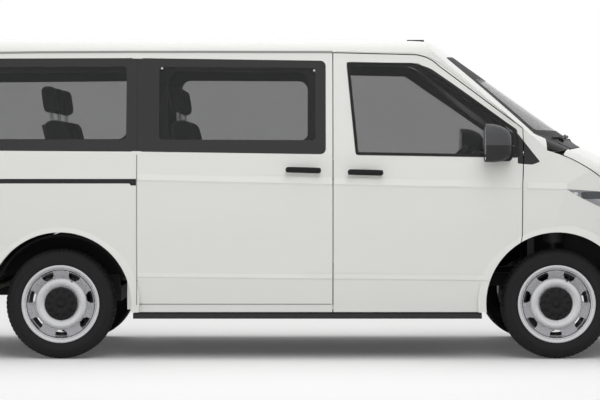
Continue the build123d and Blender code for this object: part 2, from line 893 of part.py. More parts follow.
intake_slot_count = 4
intake_low = 334
intake_pitch = 44
intake_slot_height = 28
intake_half = 430
fog_lamp_y = 660
fog_lamp_z = 420
fog_lamp_radius = 46
with BuildPart() as front_bumper:
    add(shell.part)
    add(side_prism(bumper_outline(), -reach, reach), mode=Mode.INTERSECT)
    add(arch_spaces.part, mode=Mode.SUBTRACT)
    for row in range(intake_slot_count):
        low = intake_low + row * intake_pitch
        add(block(nose_x - 200, nose_x + 10, -intake_half, intake_half, low, low + intake_slot_height),
            mode=Mode.SUBTRACT)
    for side in (-1, 1):
        fog_lamp = rod(nose_x - 150, side * fog_lamp_y, fog_lamp_z, fog_lamp_radius, 400, along_x)
        add(fog_lamp & (outer - skin_back), mode=Mode.SUBTRACT)
    add(rod(nose_x - tow_boss_back, tow_eye_y, tow_eye_height, tow_boss_radius, 100, along_x) & outer)
    add(rod(nose_x, tow_eye_y, tow_eye_height, tow_eye_radius, 500, along_x), mode=Mode.SUBTRACT)
write(front_bumper, "front_bumper")

with BuildPart() as rear_bumper:
    add(shell.part)
    add(side_prism(rear_bumper_outline(), -reach, reach), mode=Mode.INTERSECT)
    add(arch_spaces.part, mode=Mode.SUBTRACT)
    add(rod(tail_x + 60, -tow_eye_y, tow_eye_height, tow_boss_radius, 100, along_x) & outer)
    add(rod(tail_x, -tow_eye_y, tow_eye_height, tow_eye_radius, 500, along_x), mode=Mode.SUBTRACT)
write(rear_bumper, "rear_bumper")

# Tailgate
tail_glass_corners = [(-664, 1800), (-700, 1300), (700, 1300), (664, 1800)]
with BuildSketch(mode=Mode.PRIVATE) as tail_glass_face:
    with BuildLine():
        FilletPolyline(*tail_glass_corners, radius=60, close=True)
    make_face()
tail_glass_space = front_prism(tail_glass_face.sketch, tail_x - 50, tail_x + 300)
with BuildSketch(mode=Mode.PRIVATE) as tail_clear_face:
    add(tail_glass_face.sketch)
    offset(amount=-26)

with BuildSketch(mode=Mode.PRIVATE) as plate_recess:
    with Locations((0, 880)):
        RectangleRounded(620, 170, 24)
inner_room = skin_back
with BuildPart() as tailgate:
    add(shell.part)
    add(tailgate_space(0), mode=Mode.INTERSECT)
    add(tail_glass_space & (outer - glass_back), mode=Mode.SUBTRACT)
    add(front_prism(tail_clear_face.sketch, tail_x - 50, tail_x + 300), mode=Mode.SUBTRACT)
    add(front_prism(plate_recess.sketch, tail_x - 50, tail_x + 200) & (outer - skin_back), mode=Mode.SUBTRACT)
    for side in (-1, 1):
        for ear in (-26, 26):
            add(rod(tail_hinge_x, side * tail_hinge_y + ear, tail_hinge_z, 18, 24, along_y))
        add(rod(tail_hinge_x, side * tail_hinge_y, tail_hinge_z, hinge_pin_radius + seat_gap, 90, along_y),
            mode=Mode.SUBTRACT)
        add(block(tail_x, tail_hinge_x + 60, side * tail_hinge_y - 14, side * tail_hinge_y + 14,
                  tail_hinge_z - 60, tail_hinge_z + 30) & inner_room, mode=Mode.SUBTRACT)
write(tailgate, "tailgate")

with BuildPart() as tailgate_glass:
    add(glass_shell.part)
    add(tail_glass_space, mode=Mode.INTERSECT)
write(tailgate_glass, "tailgate_glass")

with BuildPart() as tail_lamp_right:
    add(shell.part)
    add(tail_lamp_space, mode=Mode.INTERSECT)
write(joined(tail_lamp_right, mirrored(tail_lamp_right)), "tail_lamps")

# Floor with the rear wheel housings
housing_radius = 400
housing_inner_y = 640
floor_edge_y = side_half_width - wall - 62
with BuildPart() as housing:
    with BuildSketch(Plane.XZ.offset(housing_inner_y - 14)):
        with Locations((rear_axle_x, arch_centre_height)):
            Circle(housing_radius + 14)
    extrude(amount=floor_edge_y - housing_inner_y + 14)

with BuildPart() as wheel_room:
    with BuildSketch(Plane.XZ.offset(housing_inner_y)):
        with Locations((rear_axle_x, arch_centre_height)):
            Circle(housing_radius)
    extrude(amount=reach - housing_inner_y)

with BuildPart() as floor:
    add(block(tail_x, 1060, -floor_edge_y, floor_edge_y, floor_height, floor_height + floor_thickness))
    add(housing.part)
    add(housing.part.mirror(Plane.XZ))
    add(block(tail_x, nose_x, -reach, reach, 0, floor_height), mode=Mode.SUBTRACT)
    add(wheel_room.part, mode=Mode.SUBTRACT)
    add(wheel_room.part.mirror(Plane.XZ), mode=Mode.SUBTRACT)
    add(post_front, mode=Mode.INTERSECT)
write(floor, "floor")

# Firewall, hinge pillars, front rails and strut towers
tower_y = wheel_y - kingpin_offset
pillar_base = 880
pillar_top = 1230
with BuildSketch(mode=Mode.PRIVATE) as firewall_face:
    with BuildLine():
        Polyline(
            (1060, floor_height),
            (1140, 770),
            (1390, pillar_base),
            (firewall_x, pillar_top),
            (firewall_x + 30, pillar_top),
            (1418, pillar_base - 24),
            (1164, 746),
            (1094, floor_height),
            close=True,
        )
    make_face()

with BuildPart() as frame_right:
    add(side_prism(firewall_face.sketch, 0, 800))
    add(block(1060, nose_x - 200, -rail_y - 40, -rail_y + 40, 420, floor_height))
    # hinge pillar, with the lugs and pins that carry the front door
    add(block(hinge_x - 14, firewall_x - 14, -840, -760, pillar_base, pillar_top))
    add(block(hinge_x + 60, firewall_x - 14, -888, -800, pillar_base, pillar_top))
    for z in door_hinge_heights:
        add(block(hinge_x - 11, hinge_x + 11, -hinge_y, -780, z - 18, z + 18))
        add(rod(hinge_x, -hinge_y, z, hinge_pin_radius, 120))
    # bonnet hinge bracket
    add(block(firewall_x - 14, lid_hinge_x + 14, -lid_hinge_y - 24, -lid_hinge_y - 8, 1140, lid_hinge_z + 14))
    add(rod(lid_hinge_x, -lid_hinge_y - 4, lid_hinge_z, hinge_pin_radius, 26, along_y))
    # strut tower
    add(block(front_axle_x - 90, front_axle_x + 90, -tower_y - 60, -rail_y, tower_height, tower_height + 20))
    add(block(front_axle_x - 90, front_axle_x + 90, -rail_y - 40, -rail_y - 20, floor_height, tower_height))
    add(block(nose_x - 200, nose_x - 160, -rail_y - 40, 0, 400, 700))

with BuildPart() as front_frame:
    add(frame_right.part)
    mirror(frame_right.part, about=Plane.XZ)
write(front_frame, "front_frame")

# Wheels: a pressed steel disc welded in a drop-centre rim
rim_half_width = 92
rim_sheet = 8


def steel_wheel():
    """One wheel about the Y axis, its outer face towards -Y."""
    lip = rim_half_width
    with BuildPart() as wheel:
        with BuildSketch(Plane.YZ):
            with BuildLine():
                Polyline(
                    (-lip, rim_radius),
                    (-lip, bead_seat_radius - rim_sheet),
                    (-lip + 26, bead_seat_radius - rim_sheet),
                    (-lip + 50, 178),
                    (lip - 50, 178),
                    (lip - 26, bead_seat_radius - rim_sheet),
                    (lip, bead_seat_radius - rim_sheet),
                    (lip, rim_radius),
                    (lip - rim_sheet, rim_radius),
                    (lip - rim_sheet, bead_seat_radius),
                    (lip - 30, bead_seat_radius),
                    (lip - 54, 178 + rim_sheet),
                    (-lip + 54, 178 + rim_sheet),
                    (-lip + 30, bead_seat_radius),
                    (-lip + rim_sheet, bead_seat_radius),
                    (-lip + rim_sheet, rim_radius),
                    close=True,
                )
            make_face()
        revolve(axis=Axis.Y)
        with BuildSketch(Plane.YZ):
            with BuildLine():
                Polyline(
                    (hub_face, hub_bore_radius),
                    (hub_face, 84),
                    (hub_face - 6, 96),
                    (hub_face - 40, 118),
                    (hub_face - 38, 146),
                    (-lip + 64, 180),
                    (-lip + 76, 180),
                    (hub_face - 28, 146),
                    (hub_face - 30, 122),
                    (hub_face + 8, 98),
                    (hub_face + 10, 88),
                    (hub_face + 10, hub_bore_radius),
                    close=True,
                )
            make_face()
        revolve(axis=Axis.Y)
        with BuildSketch(Plane.XZ.offset(-120)):
            with PolarLocations(166, vent_count, start_angle=-90):
                with Locations((0, 0)):
                    Trapezoid(58, 32, 72, rotation=-90)
        extrude(amount=240, mode=Mode.SUBTRACT)
        with BuildSketch(Plane.XZ.offset(-120)):
            with PolarLocations(bolt_circle_radius, bolt_count, start_angle=90):
                Circle(bolt_radius)
        extrude(amount=240, mode=Mode.SUBTRACT)
    return wheel


def wheel_cap():
    """The black centre cap, pushed into the middle of the wheel."""
    with BuildPart() as cap:
        with BuildSketch(Plane.YZ):
            with BuildLine():
                outer_line = Polyline(
                    (hub_face - 0.3, 0),
                    (hub_face - 0.3, 83),
                    (hub_face - 22, 94),
                    (hub_face - 34, 78),
                )
                dome = ThreePointArc(outer_line @ 1, (hub_face - 36, 50), (hub_face - 30, 34))
                Polyline(dome @ 1, (hub_face - 42, 26), (hub_face - 44, 0), outer_line @ 0)
            make_face()
        revolve(axis=Axis.Y)
    return cap


def plain_tyre():
    """One tyre about the Y axis, with a flat tread and rounded shoulders."""
    edge = tyre_width / 2
    with BuildPart() as tyre:
        with BuildSketch(Plane.YZ):
            with BuildLine():
                left = Line((-rim_half_width + rim_sheet + 1, bead_seat_radius + 0.3), (-rim_half_width + rim_sheet + 1, rim_radius + 1))
                wall_a = ThreePointArc(left @ 1, (-edge, 268), (-edge + 16, 314))
                shoulder_a = ThreePointArc(wall_a @ 1, (-edge + 24, 326), (-edge + 42, tyre_radius - 2))
                tread = ThreePointArc(shoulder_a @ 1, (0, tyre_radius), (edge - 42, tyre_radius - 2))
                shoulder_b = ThreePointArc(tread @ 1, (edge - 24, 326), (edge - 16, 314))
                wall_b = ThreePointArc(shoulder_b @ 1, (edge, 268), (rim_half_width - rim_sheet - 1, rim_radius + 1))
                right = Line(wall_b @ 1, (rim_half_width - rim_sheet - 1, bead_seat_radius + 0.3))
                Line(right @ 1, left @ 0)
            make_face()
        revolve(axis=Axis.Y)
    return tyre


wheel_form = steel_wheel()
cap_form = wheel_cap()
tyre_form = plain_tyre()

# Name, place along the body, side: -1 right, 1 left
corners = [
    ("front_right", front_axle_x, -1),
    ("front_left", front_axle_x, 1),
    ("rear_right", rear_axle_x, -1),
    ("rear_left", rear_axle_x, 1),
]
for corner_name, x, side in corners:
    turn = 0 if side < 0 else 180
    place = Location((x, side * wheel_y, tyre_radius), (0, 0, turn))
    with BuildPart() as wheel:
        add(place * wheel_form.part)
        add(place * cap_form.part)
    write(wheel, f"wheel_{corner_name}")
    with BuildPart() as tyre:
        add(place * tyre_form.part)
    write(tyre, f"tyre_{corner_name}")

# Front suspension: knuckles with their struts, and the subframe with its arms
spindle_radius = hub_bore_radius - seat_gap
disc_radius = 150
flange_y = wheel_y - hub_face - 10
strut_radius = 24
arm_height = 190
arm_thickness = 32
ball_stud_radius = 10


def knuckle():
    """Right knuckle: upright, spindle, brake disc and the strut that turns with it."""
    y = -wheel_y + kingpin_offset
    face = -flange_y + seat_gap
    with BuildPart() as part_of_axle:
        add(block(front_axle_x - 45, front_axle_x + 45, y - 40, y + 50,
                  arm_height + arm_thickness + seat_gap, tyre_radius + 130))
        add(rod(front_axle_x, (y + face) / 2, tyre_radius, 52, abs(face - y), along_y))
        add(rod(front_axle_x, face + 22, tyre_radius, disc_radius, 24, along_y))
        add(rod(front_axle_x, face - 5, tyre_radius, spindle_radius, 10, along_y))
        strut_foot = tyre_radius + 100
        strut_top = tower_height - seat_gap
        add(rod(front_axle_x, y + 24, (strut_foot + strut_top) / 2, strut_radius, strut_top - strut_foot))
        add(rod(front_axle_x, y, strut_top - 80, 60, 160))
        add(rod(front_axle_x, y, arm_height + arm_thickness / 2, ball_stud_radius, arm_thickness + 4))
        add(block(front_axle_x - 150, front_axle_x - 30, y + 2, y + 24, tyre_radius - 60, tyre_radius - 36))
    return part_of_axle


knuckle_right = knuckle()
write(knuckle_right, "knuckle_right")
write(mirrored(knuckle_right), "knuckle_left")

with BuildPart() as front_subframe:
    add(block(front_axle_x - 230, front_axle_x + 130, -380, 380, 300, 350))
    for side in (-1, 1):
        y = side * rail_y
        for x in (front_axle_x - 200, front_axle_x + 100):
            add(block(x - 26, x + 26, y - 38, y + 38, 300, 420))
        with BuildSketch(Plane.XY.offset(arm_height)):
            with BuildLine():
                Polyline(
                    (front_axle_x - 190, side * 360),
                    (front_axle_x + 110, side * 360),
                    (front_axle_x + 40, side * (tower_y + 20)),
                    (front_axle_x - 40, side * (tower_y + 20)),
                    close=True,
                )
            make_face()
        extrude(amount=arm_thickness)
        add(
            rod(front_axle_x, side * tower_y, arm_height, ball_stud_radius + seat_gap, 4 * arm_thickness),
            mode=Mode.SUBTRACT,
        )
        add(block(front_axle_x - 190, front_axle_x + 110, side * 370 - 20, side * 370 + 20, arm_height, 320))
        add(rod(front_axle_x - 170, side * 420, 325, 16, 180, along_y))
write(front_subframe, "front_subframe")

# Rear axle: trailing arms on a cross beam, with the hub carriers
with BuildPart() as rear_axle:
    add(block(rear_axle_x + 250, rear_axle_x + 340, -560, 560, 330, 420))
    for side in (-1, 1):
        y = side * 560
        add(block(rear_axle_x + 255, rear_axle_x + 335, y - 30, y + 30, 400, floor_height))
        with BuildSketch(Plane.XZ.offset(-side * y * side - 45)):
            with BuildLine():
                Polyline(
                    (rear_axle_x + 300, 335),
                    (rear_axle_x + 300, 410),
                    (rear_axle_x + 30, 390),
                    (rear_axle_x - 60, 370),
                    (rear_axle_x - 60, 290),
                    (rear_axle_x + 30, 280),
                    close=True,
                )
            make_face()
        extrude(amount=90)
        inner_end = side * 540
        face = side * (flange_y - seat_gap)
        add(rod(rear_axle_x, (inner_end + face) / 2, tyre_radius, 46, abs(face - inner_end), along_y))
        add(rod(rear_axle_x, face - side * 22, tyre_radius, disc_radius - 6, 24, along_y))
        add(rod(rear_axle_x, face + side * 5, tyre_radius, spindle_radius, 10, along_y))
        add(rod(rear_axle_x - 20, side * 560, (360 + floor_height) / 2, 50, floor_height - 360))
write(rear_axle, "rear_axle")

with BuildPart() as engine:
    add(block(front_axle_x - 60, front_axle_x + 440, -330, 330, 350 + seat_gap, 900))
    fillet(engine.edges().filter_by(Axis.Z), 40)
write(engine, "engine")

with BuildPart() as fuel_tank:
    add(block(-520, 420, 80, 640, 300, floor_height))
    fillet(fuel_tank.edges().filter_by(Axis.Z), 60)
    fillet(fuel_tank.faces().sort_by(Axis.Z)[0].edges(), 40)
write(fuel_tank, "fuel_tank")

with BuildPart() as exhaust:
    with BuildLine() as run:
        FilletPolyline(
            (1050, -180, 400),
            (300, -260, 400),
            (-900, -260, 400),
            (-1040, -200, 455),
            (-1800, -200, 455),
            (-1960, -400, 400),
            (-2340, -420, 380),
            radius=60,
        )
    with BuildSketch(Plane(origin=run.line @ 0, z_dir=run.line % 0)):
        Circle(27)
    sweep(path=run.line)
    with Locations(Location((-500, -260, 400), along_x)):
        Cylinder(90, 560)
    for x in (-240, -760):
        add(block(x - 15, x + 15, -275, -245, 400, floor_height))
    add(block(-2200, -2170, -430, -400, 395, floor_height))
write(exhaust, "exhaust")

# Dashboard, wheel and column
driver_y = 400
steer_x = 970
steer_z = 1150
steer_tilt = -48
steer_place = Location((steer_x, driver_y, steer_z), (0, steer_tilt, 0))
column_radius = 16
with BuildPart() as steering_form:
    with BuildSketch(Plane.XZ):
        with Locations((188, 0)):
            Circle(15)
    revolve(axis=Axis.Z)
    with Locations((0, 0, -12)):
        Cylinder(46, 34)
    for angle in (0, 180, 270):
        with Locations(Location((0, 0, -8), (0, 0, angle))):
            Box(182, 32, 12, align=(Align.MIN, Align.CENTER, Align.CENTER))
    with Locations((0, 0, -100)):
        Cylinder(column_radius, 170)
with BuildPart() as steering_wheel:
    add(steer_place * steering_form.part)
write(steering_wheel, "steering_wheel")

with BuildPart() as column_room:
    with Locations((0, 0, -230)):
        Cylinder(column_radius + seat_gap, 400)
with BuildPart() as column_shroud:
    with Locations((0, 0, -200)):
        Cylinder(38, 300)
with BuildPart() as dashboard:
    with BuildSketch(Plane.XZ.offset(-758)):
        with BuildLine():
            Polyline((1392, 900), (1180, 900), (1130, 1010), (1160, 1180), (1240, 1226), (1438.6, 1226), close=True)
        make_face()
    extrude(amount=1516)
    fillet(dashboard.edges().filter_by(Axis.Y).sort_by(Axis.X)[:3], 30)
    add(steer_place * column_shroud.part)
    add(steer_place * column_room.part, mode=Mode.SUBTRACT)
write(dashboard, "dashboard")

# Seats: name, place of the backrest foot, and the middle and width of each place
seat_rows = [
    ("front_seats", 330, [(-520, 430), (-85, 430), (driver_y, 500)]),
    ("second_row", -660, [(-480, 450), (-20, 440), (430, 440)]),
    ("third_row", -1450, [(-450, 440), (0, 440), (450, 440)]),
]
rows = {}
cushion_height = 830
cushion_depth = 480
cushion_thickness = 130
back_height = 620
back_thickness = 110
back_lean = 14
headrest_gap = 34
headrest_height = 170
post_radius = 7
pedestal_inset = 40
leg_inset = 52
for row_name, x, places in seat_rows:
    with BuildPart() as row:
        lean = back_height * math.tan(math.radians(back_lean))
        top = cushion_height + back_height
        for y, width in places:
            half = width / 2 - 8
            with BuildSketch(Plane.XZ.offset(-y - half)):
                with BuildLine():
                    FilletPolyline(
                        (x, cushion_height),
                        (x + cushion_depth, cushion_height + 16),
                        (x + cushion_depth + 20, cushion_height + 16 + cushion_thickness),
                        (x + back_thickness + 6, cushion_height + cushion_thickness),
                        (x + back_thickness - lean, top),
                        (x - lean + 20, top),
                        radius=26,
                        close=True,
                    )
                make_face()
            extrude(amount=2 * half)
            with BuildSketch(Plane.XZ.offset(-y - 120)):
                with BuildLine():
                    FilletPolyline(
                        (x - lean + 10, top + headrest_gap),
                        (x - lean - 6, top + headrest_gap + headrest_height),
                        (x - lean + 66, top + headrest_gap + headrest_height),
                        (x - lean + 106, top + headrest_gap),
                        radius=22,
                        close=True,
                    )
                make_face()
            extrude(amount=240)
            for post_y in (y - 60, y + 60):
                add(rod(x - lean + 56, post_y, top + headrest_gap / 2, post_radius, headrest_gap + 40))
            if row_name == "front_seats":
                add(block(x + 70, x + cushion_depth - 30, y - half + pedestal_inset, y + half - pedestal_inset,
                          floor_height + floor_thickness, cushion_height + 14))
            else:
                for leg_y in (y - half + leg_inset, y + half - leg_inset):
                    add(block(x + 60, x + cushion_depth - 60, leg_y - 5, leg_y + 5,
                              floor_height + floor_thickness, cushion_height + 14))
    rows[row_name] = row
write(rows["front_seats"], "front_seats")
write(joined(rows["second_row"], rows["third_row"]), "rear_seats")

# Door mirrors, handles and the wheel arch liners
with BuildPart() as mirror_right:
    with BuildSketch(Plane.YZ.offset(1105)):
        with Locations((-1040, 1306)):
            RectangleRounded(190, 232, 46)
    with BuildSketch(Plane.YZ.offset(1262)):
        with Locations((-1032, 1296)):
            RectangleRounded(130, 150, 40)
    loft()
    add(block(1190, 1298, -1000, -880, 1232, 1270))
    add(outer, mode=Mode.SUBTRACT)
write(mirror_right, "mirror_right")
write(mirrored(mirror_right), "mirror_left")


with BuildPart() as liner_right:
    with BuildSketch(Plane.XZ.offset(560)):
        with Locations((front_axle_x, arch_centre_height)):
            Circle(arch_radius + 10)
            Circle(arch_radius + 4, mode=Mode.SUBTRACT)
    extrude(amount=reach - 560)
    add(block(1000, hinge_x + 62, -reach, -860, 0, 1000), mode=Mode.SUBTRACT)
    add(block(1000, nose_x, -reach, 0, 0, sill_height + 80), mode=Mode.SUBTRACT)
    add(block(front_axle_x - 120, front_axle_x + 120, -764, 0, 0, 1000), mode=Mode.SUBTRACT)
    add(skin_back, mode=Mode.INTERSECT)
    add(front_bumper.part, mode=Mode.SUBTRACT)
write(joined(liner_right, mirrored(liner_right)), "arch_liners")
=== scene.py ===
"""Looks of the window minibus: finishes, tyres, trim, cushions, studio and camera.

Metres. +X is forward, +Y is left, +Z is up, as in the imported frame.
"""
import json
import math

import bmesh
import bpy
from mathutils import Matrix, Vector
from mathutils.bvhtree import BVHTree


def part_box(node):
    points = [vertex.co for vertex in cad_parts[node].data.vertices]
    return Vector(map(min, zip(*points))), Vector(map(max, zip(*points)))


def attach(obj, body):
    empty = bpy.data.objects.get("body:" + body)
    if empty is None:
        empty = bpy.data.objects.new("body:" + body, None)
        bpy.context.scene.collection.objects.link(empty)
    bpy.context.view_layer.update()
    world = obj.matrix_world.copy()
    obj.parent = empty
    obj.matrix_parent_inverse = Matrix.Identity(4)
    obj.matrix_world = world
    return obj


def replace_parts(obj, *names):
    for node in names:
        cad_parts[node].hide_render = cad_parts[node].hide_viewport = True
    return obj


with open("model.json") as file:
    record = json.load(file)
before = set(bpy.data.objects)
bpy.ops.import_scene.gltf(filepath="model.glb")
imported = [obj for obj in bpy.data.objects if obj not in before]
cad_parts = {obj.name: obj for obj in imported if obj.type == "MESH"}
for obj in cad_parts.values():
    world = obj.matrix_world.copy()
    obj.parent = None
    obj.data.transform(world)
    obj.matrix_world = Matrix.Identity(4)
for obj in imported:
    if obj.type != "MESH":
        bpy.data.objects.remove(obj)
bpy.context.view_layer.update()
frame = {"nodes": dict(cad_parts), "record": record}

nodes = frame["nodes"]

# Sizes read from the frame
tyre_low, tyre_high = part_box("tyre_front_right")
tyre_radius = (tyre_high.z - tyre_low.z) / 2
tyre_half_width = (tyre_high.y - tyre_low.y) / 2
wheel_y = abs(tyre_high.y + tyre_low.y) / 2
axle_x = {}
for end in ("front", "rear"):
    low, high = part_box(f"tyre_{end}_right")
    axle_x[end] = (low.x + high.x) / 2

# Linear colours
WHITE = (0.80, 0.80, 0.765)
BLACK = (0.010, 0.010, 0.011)
SATIN_BLACK = (0.009, 0.009, 0.010)
TRIM = (0.060, 0.061, 0.064)

# How a finish breaks up: roughness below and above its own, and the size of the clouds
SMOOTHER, ROUGHER, SMOOTHEST = 0.03, 0.04, 0.02
CLOUD_SCALE = 14
COAT_ROUGHNESS = 0.04
GRAIN_HEIGHT = 0.001
THREAD_HEIGHT = 0.0006
MOTTLE_SCALE = 260

SIDES = (("right", -1), ("left", 1))


def connect(tree, node, inputs):
    """Give each named input a value, or link it to another node's socket."""
    for key, value in inputs.items():
        if isinstance(value, bpy.types.NodeSocket):
            tree.links.new(value, node.inputs[key])
        else:
            node.inputs[key].default_value = value
    return node


def add_node(tree, kind, inputs=None):
    return connect(tree, tree.nodes.new(kind), inputs or {})


def add_math(tree, operation, *values):
    node = tree.nodes.new("ShaderNodeMath")
    node.operation = operation
    return connect(tree, node, dict(enumerate(values))).outputs[0]


def mix_colors(tree, factor, a, b, blend="MIX"):
    node = tree.nodes.new("ShaderNodeMix")
    node.data_type = "RGBA"
    node.blend_type = blend
    return connect(tree, node, {"Factor": factor, "A": a, "B": b}).outputs["Result"]


def shader_of(material):
    return material.node_tree.nodes["Principled BSDF"]


def new_material(name, color, roughness, metallic=0.0, coat=0.0, alpha=1.0, specular=0.5):
    """A plain finish with a faint break-up in its roughness."""
    m = bpy.data.materials.new(name)
    m.use_nodes = True
    tree = m.node_tree
    shader = connect(tree, shader_of(m), {
        "Base Color": (*color, 1), "Metallic": metallic, "Coat Weight": coat,
        "Coat Roughness": COAT_ROUGHNESS, "Alpha": alpha, "Specular IOR Level": specular,
    })
    place = add_node(tree, "ShaderNodeTexCoord").outputs["Object"]
    noise = add_node(tree, "ShaderNodeTexNoise", {"Vector": place, "Scale": CLOUD_SCALE})
    low, high = max(roughness - SMOOTHER, SMOOTHEST), roughness + ROUGHER
    spread = add_node(
        tree, "ShaderNodeMapRange", {"Value": noise.outputs["Fac"], "To Min": low, "To Max": high}
    )
    connect(tree, shader, {"Roughness": spread.outputs["Result"]})
    return m


def bump(tree, height, strength, distance):
    made = add_node(
        tree, "ShaderNodeBump", {"Height": height, "Strength": strength, "Distance": distance}
    )
    connect(tree, tree.nodes["Principled BSDF"], {"Normal": made.outputs["Normal"]})


def grain(material, scale, depth):
    """Fine bump from noise, for grained plastic, rubber and cast metal."""
    tree = material.node_tree
    place = add_node(tree, "ShaderNodeTexCoord").outputs["Object"]
    noise = add_node(tree, "ShaderNodeTexNoise", {"Vector": place, "Scale": scale})
    bump(tree, noise.outputs["Fac"], depth, GRAIN_HEIGHT)
    return material


def weave(material, dark, light, pitch):
    """A woven cloth: crossed threads in the bump and a mottled colour."""
    tree = material.node_tree
    place = add_node(tree, "ShaderNodeTexCoord").outputs["Object"]
    threads = []
    for direction in "XYZ":
        wave = add_node(
            tree, "ShaderNodeTexWave", {"Vector": place, "Scale": math.pi / (10 * pitch)}
        )
        wave.bands_direction = direction
        threads.append(wave.outputs["Fac"])
    height = add_math(tree, "ADD", add_math(tree, "ADD", threads[0], threads[1]), threads[2])
    bump(tree, height, 0.5, THREAD_HEIGHT)
    noise = add_node(
        tree, "ShaderNodeTexNoise", {"Vector": place, "Scale": MOTTLE_SCALE, "Detail": 3}
    )
    mottled = mix_colors(tree, noise.outputs["Fac"], (*dark, 1), (*light, 1))
    connect(tree, shader_of(material), {"Base Color": mottled, "Sheen Weight": 0.25})
    return material


paint = new_material("white_paint", WHITE, 0.22, coat=0.5)
black = grain(new_material("black_plastic", SATIN_BLACK, 0.45, specular=0.22), 900, 0.25)
trim = grain(new_material("cabin_trim", TRIM, 0.6), 700, 0.25)
rubber = grain(new_material("tyre_rubber", (0.0085, 0.0085, 0.009), 0.66, specular=0.3), 500, 0.3)
silver = new_material("silver_steel", (0.60, 0.60, 0.615), 0.27, metallic=0.9)
glass = new_material("tinted_glass", (0.012, 0.013, 0.013), 0.03, alpha=0.36)
screen_glass = new_material(
    "windscreen_glass", (0.012, 0.013, 0.013), 0.03, alpha=0.36, specular=0.4
)
cloth = weave(
    new_material("seat_cloth", TRIM, 0.92), (0.016, 0.017, 0.019), (0.042, 0.043, 0.047), 0.0016
)
cast = grain(new_material("cast_metal", (0.045, 0.045, 0.046), 0.6, metallic=0.5), 300, 0.4)
underbody = grain(new_material("underbody", (0.012, 0.012, 0.013), 0.8, specular=0.25), 200, 0.3)
dull_steel = new_material("dull_steel", (0.30, 0.28, 0.26), 0.42, metallic=0.9)
chrome = new_material("reflector", (0.80, 0.81, 0.83), 0.08, metallic=1.0)
lens = new_material("clear_lens", (0.55, 0.58, 0.60), 0.04, alpha=0.16)
red_lens = new_material("red_lens", (0.34, 0.006, 0.008), 0.08, coat=0.5)
amber_lens = new_material("amber_lens", (0.60, 0.16, 0.01), 0.10, coat=0.4)
plate = new_material("blank_plate", (0.62, 0.62, 0.60), 0.35)
frit = new_material("painted_glass_edge", BLACK, 0.04)
screen_edge = new_material("windscreen_edge", BLACK, 0.6, specular=0.0)
# Mid grey, for the roof edge strip, and as painted shade standing in for the gaps along the sliding
# door's shut lines
strip_grey_and_gap_shade = new_material("grey_strip_and_gap_shade", (0.30, 0.30, 0.29), 0.6, specular=0.3)
# A lighter grey copy of the black plastic: painted light on the top half of the mirror housings
mirror_top = grain(new_material("mirror_top", TRIM, 0.38), 900, 0.2)
lamp_edge = new_material("lamp_reflector_edge", (0.62, 0.63, 0.64), 0.15, metallic=0.2, coat=0.5)
bulb_glass = new_material("bulb", (0.75, 0.76, 0.76), 0.10)
fog_lens = new_material("fog_lens", (0.40, 0.42, 0.44), 0.08, metallic=0.3, coat=0.8)

finishes = {
    "white_paint": paint,
    "tyre_rubber": rubber,
    "silver_steel": silver,
    "tinted_glass": glass,
    "lamp_lens": lens,
    "red_lens": red_lens,
    "black_plastic": black,
    "grey_plastic": trim,
    "seat_fabric": cloth,
    "cast_metal": cast,
    "underbody_black": underbody,
    "exhaust_steel": dull_steel,
}
# The slot of a finish by its name
slot_of = {finish.name: slot for slot, finish in finishes.items()}
slot_of.update(
    reflector="silver_steel", painted_glass_edge="black_plastic", mirror_top="black_plastic",
    bulb="lamp_lens", fog_lens="lamp_lens",
)


def dress(node_name, material):
    node = nodes[node_name]
    node.data.materials.clear()
    node.data.materials.append(material)


for row in frame["record"]["subparts"]:
    dress(row["node"], finishes[row["material_slot"]])


class Regions:
    """Masks in the node's own coordinates, for a node that shows more than one finish."""

    def __init__(self, material):
        self.tree = material.node_tree
        place = add_node(self.tree, "ShaderNodeTexCoord")
        self.place = self.split(place.outputs["Object"])
        self.normal = self.split(place.outputs["Normal"])
        self.side_y = self.math("ABSOLUTE", self.place["y"])

    def split(self, socket):
        return dict(zip("xyz", add_node(self.tree, "ShaderNodeSeparateXYZ", {0: socket}).outputs))

    def math(self, operation, *values):
        return add_math(self.tree, operation, *values)

    def over(self, value, limit):
        return self.math("GREATER_THAN", value, limit)

    def under(self, value, limit):
        return self.math("LESS_THAN", value, limit)

    def between(self, axis, low, high):
        """1 where the coordinate lies between low and high."""
        return self.math("COMPARE", self.place[axis], (low + high) / 2, (high - low) / 2)

    def both(self, *masks):
        found = masks[0]
        for mask in masks[1:]:
            found = self.math("MULTIPLY", found, mask)
        return found

    def any(self, *masks):
        found = masks[0]
        for mask in masks[1:]:
            found = self.math("MAXIMUM", found, mask)
        return found

    def outline(self, axes, corners, rounding=0.05, inset=0.003):
        """1 inside a convex outline of (u, v) corners, with its corners rounded."""
        u, v = (self.place[axis] for axis in axes)
        middle = sum((Vector(corner) for corner in corners), Vector((0, 0))) / len(corners)
        depth = None
        for a, b in zip(corners, corners[1:] + corners[:1]):
            edge = Vector(b) - Vector(a)
            out = Vector((edge.y, -edge.x)).normalized()
            if out.dot(middle - Vector(a)) > 0:
                out = -out
            side = self.math("MULTIPLY_ADD", u, out.x, -out.dot(Vector(a)))
            side = self.math("MULTIPLY_ADD", v, out.y, side)
            depth = side if depth is None else self.math("SMOOTH_MAX", depth, side, rounding)
        return self.under(depth, -inset)

    def inward(self):
        """1 on faces that look well towards the centre line."""
        across = self.math("MULTIPLY", self.normal["y"], self.math("SIGN", self.place["y"]))
        return self.under(across, -0.4)


